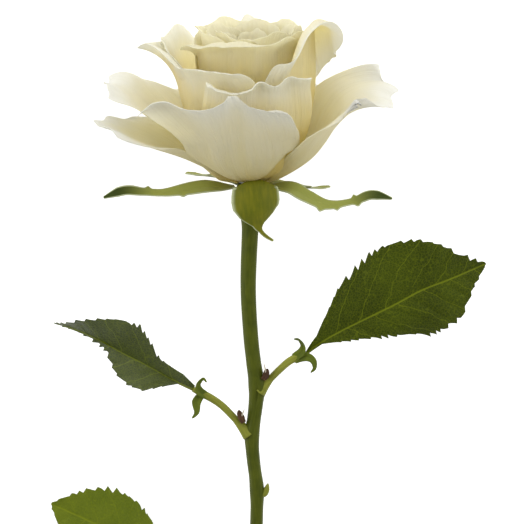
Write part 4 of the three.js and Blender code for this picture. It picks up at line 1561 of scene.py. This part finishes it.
# ---------- Stem ----------
@dataclass
class Stem:
    """The stem with its hip, as one rod: its way from the hip to the cut end, and its radii.

    The way is in (x, y) and the radii in (distance down, radius).
    """

    way: Sequence[tuple[float, float]] = (
        (0, 0), (-0.2, -6), (-0.5, -12), (-1.2, -33), (-0.5, -49), (0.5, -59.5), (1.6, -67.5),
        (1.3, -73), (0.7, -78.5), (0, -84), (0.1, -89), (0.6, -94.5), (1.6, -103.5), (1.5, -113),
        (1, -128), (0.6, -139), (-0.4, -155), (-0.9, -178), (-0.4, -202), (0.6, -226), (0.9, -250),
        (0.8, -268),
    )
    radii: Sequence[tuple[float, float]] = (
        (0, 4.6), (3, 5.3), (7, 4.8), (11, 3.2), (14, 2.7), (33, 2.5), (57, 2.4), (63, 2.5),
        (67.5, 2.9), (72, 2.4), (79, 2.2), (84, 2.5), (89, 2.2), (98, 2.1), (103.5, 2.45),
        (109, 2.1), (133, 2.1), (139, 2.6), (145, 2.2), (205, 2.4), (268, 2.6),
    )
    end_gap: float = 0.5
    rings: int = 420
    sides: int = 48
    scale: Path3 = ((1, -1.5, 0), (2.6, -1, 0.6), (3.6, 2.4, 0.9))  # from its node

    SINKS_FROM, SINK_POWER = -10, 1.25
    SMOOTHED = 9  # rings that a radius is averaged over
    RIDGES, RIDGE_COUNT, RIDGE_TURN, RIDGES_FROM = 0.05, 5, 0.02, (8, 6)
    WANDER, WANDER_SIZE, WANDER_SEED = 0.05, (60, 9), 5
    GROOVE, GROOVE_AT, GROOVE_SIZE = -0.9, 69.5, (5, 0.22)  # above the right leaf's node
    SLANT = 0.45
    SCALE_NODE = -103.5
    SCALE_RADII = ((0, 1.1), (0.6, 1.0), (0.85, 0.6), (1, 0.12))

    def drop(self, y: float, seat_height: float) -> float:
        """How far the stem has sunk toward the table at y."""
        share = min(1.0, max(0.0, (self.SINKS_FROM - y) / (self.SINKS_FROM - self.way[-1][1])))
        return (seat_height - self.radii[-1][1] - self.end_gap) * share**self.SINK_POWER

    def on(self, y: float, seat_height: float) -> np.ndarray:
        """The point of the stem's centre line at y."""
        x = np.interp(-y, [-b for _, b in self.way], [a for a, _ in self.way])
        return np.array([x, y, -self.drop(y, seat_height)])

    def build(self, workshop: Workshop) -> None:
        """Makes the stem and its bud scale.

        The stem's radius is its smoothed radii, plus low ridges that are a sine round it and turn
        slowly on the way down, a seeded wander, and a bell-shaped groove on its upper side.

        Args:
            workshop: where it is built.
        """
        height = -workshop.table
        path = Curve([(x, y, -self.drop(y, height)) for x, y in self.way])
        down = np.linspace(0, 1, self.rings) * self.radii[-1][0]
        radius = np.interp(down, *zip(*self.radii))
        kernel = np.hanning(self.SMOOTHED) / np.hanning(self.SMOOTHED).sum()
        radius = np.convolve(np.pad(radius, self.SMOOTHED // 2, mode="edge"), kernel, mode="valid")
        turn = np.linspace(0, 2 * np.pi, self.sides, endpoint=False)
        far, turn = np.meshgrid(down, turn, indexing="ij")
        start, ease = self.RIDGES_FROM
        ridges = self.RIDGES * np.sin(self.RIDGE_COUNT * turn + self.RIDGE_TURN * far)
        ridges = ridges * eased((far - start) / ease)
        long, broad = self.WANDER_SIZE
        wander = self.WANDER * waves(far / long + turn / broad, self.WANDER_SEED, 0.5, 3)
        long, broad = self.GROOVE_SIZE
        groove = np.exp(-(((far - self.GROOVE_AT) / long) ** 2))
        groove = self.GROOVE * groove * np.exp(-(((turn - np.pi / 2) / broad) ** 2))
        surface = tube(path, radius, self.sides, ridges + wander + groove, self.SLANT)
        workshop.make("stem_skin", surface, STEM, Slot.STEM, ["stem"])
        scale = Curve([self.on(self.SCALE_NODE, height) + step for step in self.scale])
        taper = np.interp(np.linspace(0, 1, 24), *zip(*self.SCALE_RADII))
        workshop.make("stem_bud_scale", tube(scale, taper, 20), STALK, Slot.STEM)


# ---------- Leaves ----------
BLADE_HALF = (0.04, 0.42, 0.7, 0.88, 0.98, 1, 0.92, 0.73, 0.42, 0.03)
BLADE_THICKNESS = (0.4, 0.25)


def wide(width: float) -> tuple[float, ...]:
    """A blade's half widths from base to tip, for the given widest half width."""
    return tuple(width * share for share in BLADE_HALF)


def small_blade(left: float, right: float, **own: object) -> Ribbon:
    """One of the lower leaf's two small blades, with its widest half widths and own sizes."""
    shared = dict(fold=14, droop=0.02, teeth=14, bite=1.0, wave=0.4, quilt=0.25, grid=(150, 41))
    return Ribbon(left=wide(left), right=wide(right), thickness=BLADE_THICKNESS, **shared, **own)


@dataclass(frozen=True)
class Leaf:
    """One leaf: its blades, its petiole, and two stipules at its foot."""

    name: str
    blades: Sequence[Ribbon]
    petiole: Path3
    stipules: Sequence[tuple[Path3, tuple[tuple[float, float, float], tuple[float, float, float]]]]
    finish: LeafFinish = LEAF

    MIDRIB_SINK, MIDRIB_END = 0.35, 0.97
    MIDRIB_RADII = (0.5, 0.1)
    STIPULE_HALF = (1.2, 1.5, 0.9, 0.15)
    STALK_RADII = ((0, 2.3), (0.1, 1.8), (0.28, 1.15), (0.6, 1.2), (0.85, 1.3), (1, 0.85))

    def build(self, workshop: Workshop) -> None:
        """Makes the blades, the stalk with its midribs and the stipules.

        Args:
            workshop: where they are built.
        """
        blades = [blade.surface() for blade in self.blades]
        for blade in blades:
            blade.points = workshop.rest(blade.points, 0)
        workshop.make(f"{self.name}_blade", Surface.joined(blades), self.finish, Slot.LEAF, [self.name])
        radius = np.interp(np.linspace(0, 1, 40), *zip(*self.STALK_RADII))
        rods = [tube(Curve(self.petiole), radius, 16)]
        rods += [self._midrib(blade) for blade in self.blades]
        workshop.make(f"{self.name}_stalk", Surface.joined(rods), STALK, Slot.LEAF)
        half = self.STIPULE_HALF
        stipules = [
            Ribbon(path, facing, half, half, fold=16, thickness=(0.45, 0.25), grid=(40, 13))
            for path, facing in self.stipules
        ]
        joined = Surface.joined([each.surface() for each in stipules])
        workshop.make(f"{self.name}_stipules", joined, STIPULE, Slot.LEAF)

    def _midrib(self, blade: Ribbon) -> Surface:
        """The blade's midrib: a rod sunk under its spine that thins toward the tip.

        Args:
            blade: the blade.

        Returns:
            The rod's surface.
        """
        path = Curve(blade.path)
        y = np.linspace(0, self.MIDRIB_END * path.length, 40)
        under = np.array(blade.facing[0], float)
        spine = path.at(y) - unit(under) * self.MIDRIB_SINK
        return tube(Curve(spine[::3]), np.linspace(*self.MIDRIB_RADII, 60), 12)


@dataclass
class Foliage:
    """The three leaves and the two dry buds in the upper leaves' axils."""

    leaves: Sequence[Leaf] = (
        Leaf(
            name="leaf_right",
            blades=(
                Ribbon(
                    path=[
                        (17.2, -57.2, -5), (22.1, -53.2, -4.5), (28.8, -48.9, -3),
                        (38.7, -43.5, -1.5), (46.4, -39.6, -1.5), (54.7, -35.4, -3),
                        (64.6, -32.1, -6), (75.5, -28.4, -11),
                    ],
                    facing=((-0.1, 0.1, 1), (0.3, -0.1, 1)),
                    left=(0.3, 2.6, 7.5, 13.2, 15.9, 18.4, 19, 17, 12.6, 5.4, 0.2),
                    right=(0.2, 0.6, 3.4, 5.6, 8.8, 11.6, 16, 15.8, 14.3, 5.6, 0.2),
                    fold=14, droop=0.018, thickness=BLADE_THICKNESS, teeth=22, bite=1.4,
                    wave=1.5, quilt=0.35, seed=3, grid=(240, 61),
                ),
            ),
            petiole=[
                (2.4, -69.4, -4.8), (5.2, -66, -4.6), (9, -62, -4.4), (12.6, -59, -4.6),
                (17.2, -57.2, -5),
            ],
            stipules=(
                (
                    [
                        (13.6, -58, -4.4), (16.2, -56, -3.4), (16.6, -53.6, -2.2),
                        (15.2, -51.4, -1), (13.6, -51, -0.4),
                    ],
                    ((-1, 0, 1), (-1, 0, 1)),
                ),
                (
                    [
                        (13.8, -58.8, -4.4), (17, -57.6, -3.6), (19.6, -58.6, -2.6),
                        (20.2, -61, -2), (19, -62.4, -1.8),
                    ],
                    ((0, 0, 1), (0, 0.6, 1)),
                ),
            ),
        ),
        Leaf(
            name="leaf_left",
            blades=(
                Ribbon(
                    path=[
                        (-19.2, -69, -6), (-26.6, -65.2, -5), (-33.9, -60.7, -4),
                        (-42.6, -56, -3.5), (-47.8, -53, -4), (-56.3, -49.4, -6),
                        (-64, -47.7, -9),
                    ],
                    facing=((0.1, 0.5, 1), (-0.2, -0.3, 1)),
                    left=(0.3, 0.3, 4.6, 9.4, 9.8, 7.6, 2.4, 0.9, 0.7, 0.5, 0.2),
                    right=(1.4, 3.4, 4, 4.6, 9, 13.2, 12.6, 9.8, 6.8, 2.8, 0.3),
                    fold=34, droop=0.02, thickness=BLADE_THICKNESS, teeth=19, bite=1.2,
                    wave=0.8, quilt=0.3, seed=14, grid=(200, 51),
                ),
            ),
            finish=SATIN_LEAF,
            petiole=[
                (-1, -84.4, -6.2), (-3.6, -81.2, -6.4), (-6, -78.4, -5.9), (-9.6, -74.6, -5.7),
                (-13.6, -71.8, -5.9), (-19.2, -69, -6),
            ],
            stipules=(
                (
                    [
                        (-15, -71, -5.4), (-17.4, -69, -4), (-17.6, -66.6, -2.8),
                        (-16, -64.6, -2), (-14.8, -65.6, -1.6),
                    ],
                    ((1, 0, 1), (1, 0, 1)),
                ),
                (
                    [(-16.4, -70.6, -5.6), (-18, -73, -5.2), (-18, -76.4, -5), (-19.4, -78.4, -5)],
                    ((0, 0, 1), (0, 0, 1)),
                ),
            ),
        ),
        Leaf(
            name="leaf_lower",
            blades=(
                Ribbon(
                    path=[
                        (-31, -134.6, -16.4), (-36, -129.4, -16), (-42, -123.4, -15.6),
                        (-50, -117.6, -15.6), (-66, -110.6, -18),
                    ],
                    facing=((0.2, 0.3, 1), (-0.1, 0.1, 1)), left=wide(12.5), right=wide(13.5),
                    droop=0.014, thickness=BLADE_THICKNESS, teeth=19, bite=1.3,
                    wave=0.6, quilt=0.3, seed=25, grid=(180, 51),
                ),
                small_blade(
                    5, 8.5, facing=((0.1, 0.2, 1), (-0.2, 0.2, 1)), seed=36,
                    path=[
                        (-19, -137.6, -15.6), (-20.6, -131.8, -14.6), (-24, -125, -14.6),
                        (-28, -117.6, -17),
                    ],
                ),
                small_blade(
                    9.5, 8.5, facing=((-0.2, 0.1, 1), (-0.1, -0.2, 1)), seed=47,
                    path=[(-20, -138, -15.8), (-25, -145, -15.4), (-31, -153, -16.6), (-38, -161, -20)],
                ),
            ),
            petiole=[
                (-0.6, -140, -13.4), (-2.9, -139.2, -13.9), (-8, -138.4, -14.4),
                (-18, -138, -15.6), (-26, -136.6, -16.4), (-31, -134.6, -16.4),
            ],
            stipules=(
                (
                    [(-5, -138.6, -13.8), (-6.6, -136.4, -12.6), (-7.2, -132.6, -11.6)],
                    ((1, 0, 1), (1, 0, 1)),
                ),
                (
                    [(-5, -139.2, -13.8), (-7.6, -142, -13), (-9.6, -145.4, -12.6)],
                    ((1, 0, 1), (0, 0, 1)),
                ),
            ),
            finish=LOWER_LEAF,
        ),
    )
    buds: Sequence[tuple[str, Path3]] = (
        ("bud_right", [(3.6, -64.8, -2.6), (4.4, -63.4, -2.2), (5.0, -61.2, -1.6)]),
        ("bud_left", [(-2.8, -79.6, -4.4), (-3.7, -77.8, -4), (-4.3, -75.4, -3.4)]),
    )
    wisps: Sequence[Path3] = (
        [(4.5, -63.0, -1.8), (4.2, -60.8, -0.9), (3.8, -59.0, -0.4)],
        [(-3.6, -77.6, -3.6), (-2.9, -76.0, -2.9), (-2.5, -74.6, -2.5)],
    )

    BUD_RADII = ((0, 0.8), (0.4, 1.1), (0.8, 0.75), (1, 0.2))
    BUD_RINGS, BUD_SIDES = 30, 20
    SCALES, SCALE_COUNT, SCALE_TURN = 0.14, 3, 5
    WISP_RADII = (0.34, 0.08)

    def build(self, workshop: Workshop) -> None:
        """Makes the leaves, the buds and the buds' wisps.

        A bud's scales are a sine round it that turns on the way up.

        Args:
            workshop: where they are built.
        """
        for leaf in self.leaves:
            leaf.build(workshop)
        radius = np.interp(np.linspace(0, 1, self.BUD_RINGS), *zip(*self.BUD_RADII))
        turn = np.linspace(0, 2 * np.pi, self.BUD_SIDES, endpoint=False)
        spiral = np.linspace(0, self.SCALE_TURN, self.BUD_RINGS)[:, None]
        scales = self.SCALES * np.sin(self.SCALE_COUNT * turn + spiral)
        for (name, path), wisp in zip(self.buds, self.wisps):
            bud = tube(Curve(path), radius, self.BUD_SIDES, scales)
            workshop.make(f"{name}_scales", bud, BUD, Slot.BUD, [name])
            thin = tube(Curve(wisp), np.linspace(*self.WISP_RADII, 20), 8)
            workshop.make(f"{name}_wisp", thin, WISP, Slot.BUD)


# ---------- Studio ----------
@dataclass
class Studio:
    """A plain pale floor, plain soft light, and a camera that looks down on the rose.

    lean is the camera's lean over the bloom's top, frame_width the width that it takes in at the
    seat's distance, and aim where it looks, from the seat. panels are the lights' names, places
    from the seat, sizes and powers. Lengths are in metres, but sensor is in millimetres.
    """

    lean: float = 12.0
    distance: float = 1.5
    frame_width: float = 0.1677
    aim: tuple[float, float] = (0.0032, -0.025)
    sensor: float = 36.0
    floor_half: float = 3.0
    floor_paper: Colour = (0.9, 0.9, 0.9)
    floor_glow: float = 0.5
    air: Colour = (0.95, 0.97, 1.0)
    air_strength: float = 0.5
    panels: Sequence[tuple[str, tuple[float, float, float], float, float]] = (
        ("panel_top", (0.1, 0.75, 0.45), 0.8, 3.5),
        ("panel_left", (-0.8, 0.15, 0.5), 0.7, 4.2),
        ("panel_right", (0.8, 0.15, 0.45), 0.7, 2.9),
    )

    FLOOR_ROUGH, FLOOR_GLOSS = 0.8, 0.1
    FAR = 20.0

    def build(self, workshop: Workshop) -> None:
        """Makes the floor, the lights and the camera.

        Args:
            workshop: where the seat is.
        """
        self._floor()
        self._world()
        self._lights(workshop)
        self._camera(workshop)

    def _floor(self) -> None:
        """A plain square floor at the table's height that glows softly."""
        h = self.floor_half
        mesh = bpy.data.meshes.new("floor")
        mesh.from_pydata([(-h, -h, 0), (h, -h, 0), (h, h, 0), (-h, h, 0)], [], [[0, 1, 2, 3]])
        floor = bpy.data.objects.new("floor", mesh)
        bpy.context.scene.collection.objects.link(floor)
        material, paint, principled = new_material("floor_paper")
        paint.give(principled, {"Base Color": (*self.floor_paper, 1), "Roughness": self.FLOOR_ROUGH})
        paint.give(principled, {"Specular IOR Level": self.FLOOR_GLOSS})
        paint.give(principled, {"Emission Color": (1, 1, 1, 1), "Emission Strength": self.floor_glow})
        mesh.materials.append(material)
        floor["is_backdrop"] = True

    def _world(self) -> None:
        """A soft even white all round."""
        world = bpy.data.worlds.new("studio")
        world.use_nodes = True
        background = world.node_tree.nodes["Background"]
        background.inputs["Color"].default_value = (*self.air, 1)
        background.inputs["Strength"].default_value = self.air_strength
        bpy.context.scene.world = world

    def _lights(self, workshop: Workshop) -> None:
        """Three broad panels, beyond the bloom and at its two sides, aimed at the bloom.

        Args:
            workshop: where the seat is.
        """
        target = Vector(workshop.seat)
        for name, place, size, power in self.panels:
            data = bpy.data.lights.new(name, "AREA")
            data.shape, data.size, data.energy = "SQUARE", size, power
            lamp = bpy.data.objects.new(name, data)
            lamp.location = target + Vector(place)
            lamp.rotation_euler = (-Vector(place)).to_track_quat("-Z", "Y").to_euler()
            bpy.context.scene.collection.objects.link(lamp)

    def _camera(self, workshop: Workshop) -> None:
        """The camera above the rose, leaning over the bloom's top by the lean.

        Args:
            workshop: where the seat is.
        """
        lean = math.radians(self.lean)
        right = Vector((1, 0, 0))
        up = Vector((0, math.cos(lean), -math.sin(lean)))
        back = right.cross(up)
        target = Vector(workshop.seat) + right * self.aim[0] + up * self.aim[1]
        data = bpy.data.cameras.new("camera")
        data.sensor_width = self.sensor
        data.lens = self.sensor * self.distance / self.frame_width
        data.clip_end = self.FAR
        camera = bpy.data.objects.new("camera", data)
        turn = Matrix((right, up, back)).transposed()
        camera.matrix_world = Matrix.Translation(target + back * self.distance) @ turn.to_4x4()
        bpy.context.scene.collection.objects.link(camera)
        bpy.context.scene.camera = camera
        bpy.context.scene.view_settings.view_transform = "Standard"


def corners() -> list[list[float]]:
    """The whole object's box as plain lists."""
    return [list(map(float, corner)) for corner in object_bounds()]


def main() -> None:
    """Builds the rose round its frame and sets up the studio."""
    logging.basicConfig(level=logging.INFO, format="%(name)s %(message)s")
    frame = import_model()
    workshop = Workshop(frame, Effects())
    Stem().build(workshop)
    Calyx().build(workshop)
    Bloom().build(workshop)
    Foliage().build(workshop)
    Studio().build(workshop)
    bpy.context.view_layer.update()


if __name__ == "__main__":
    main()
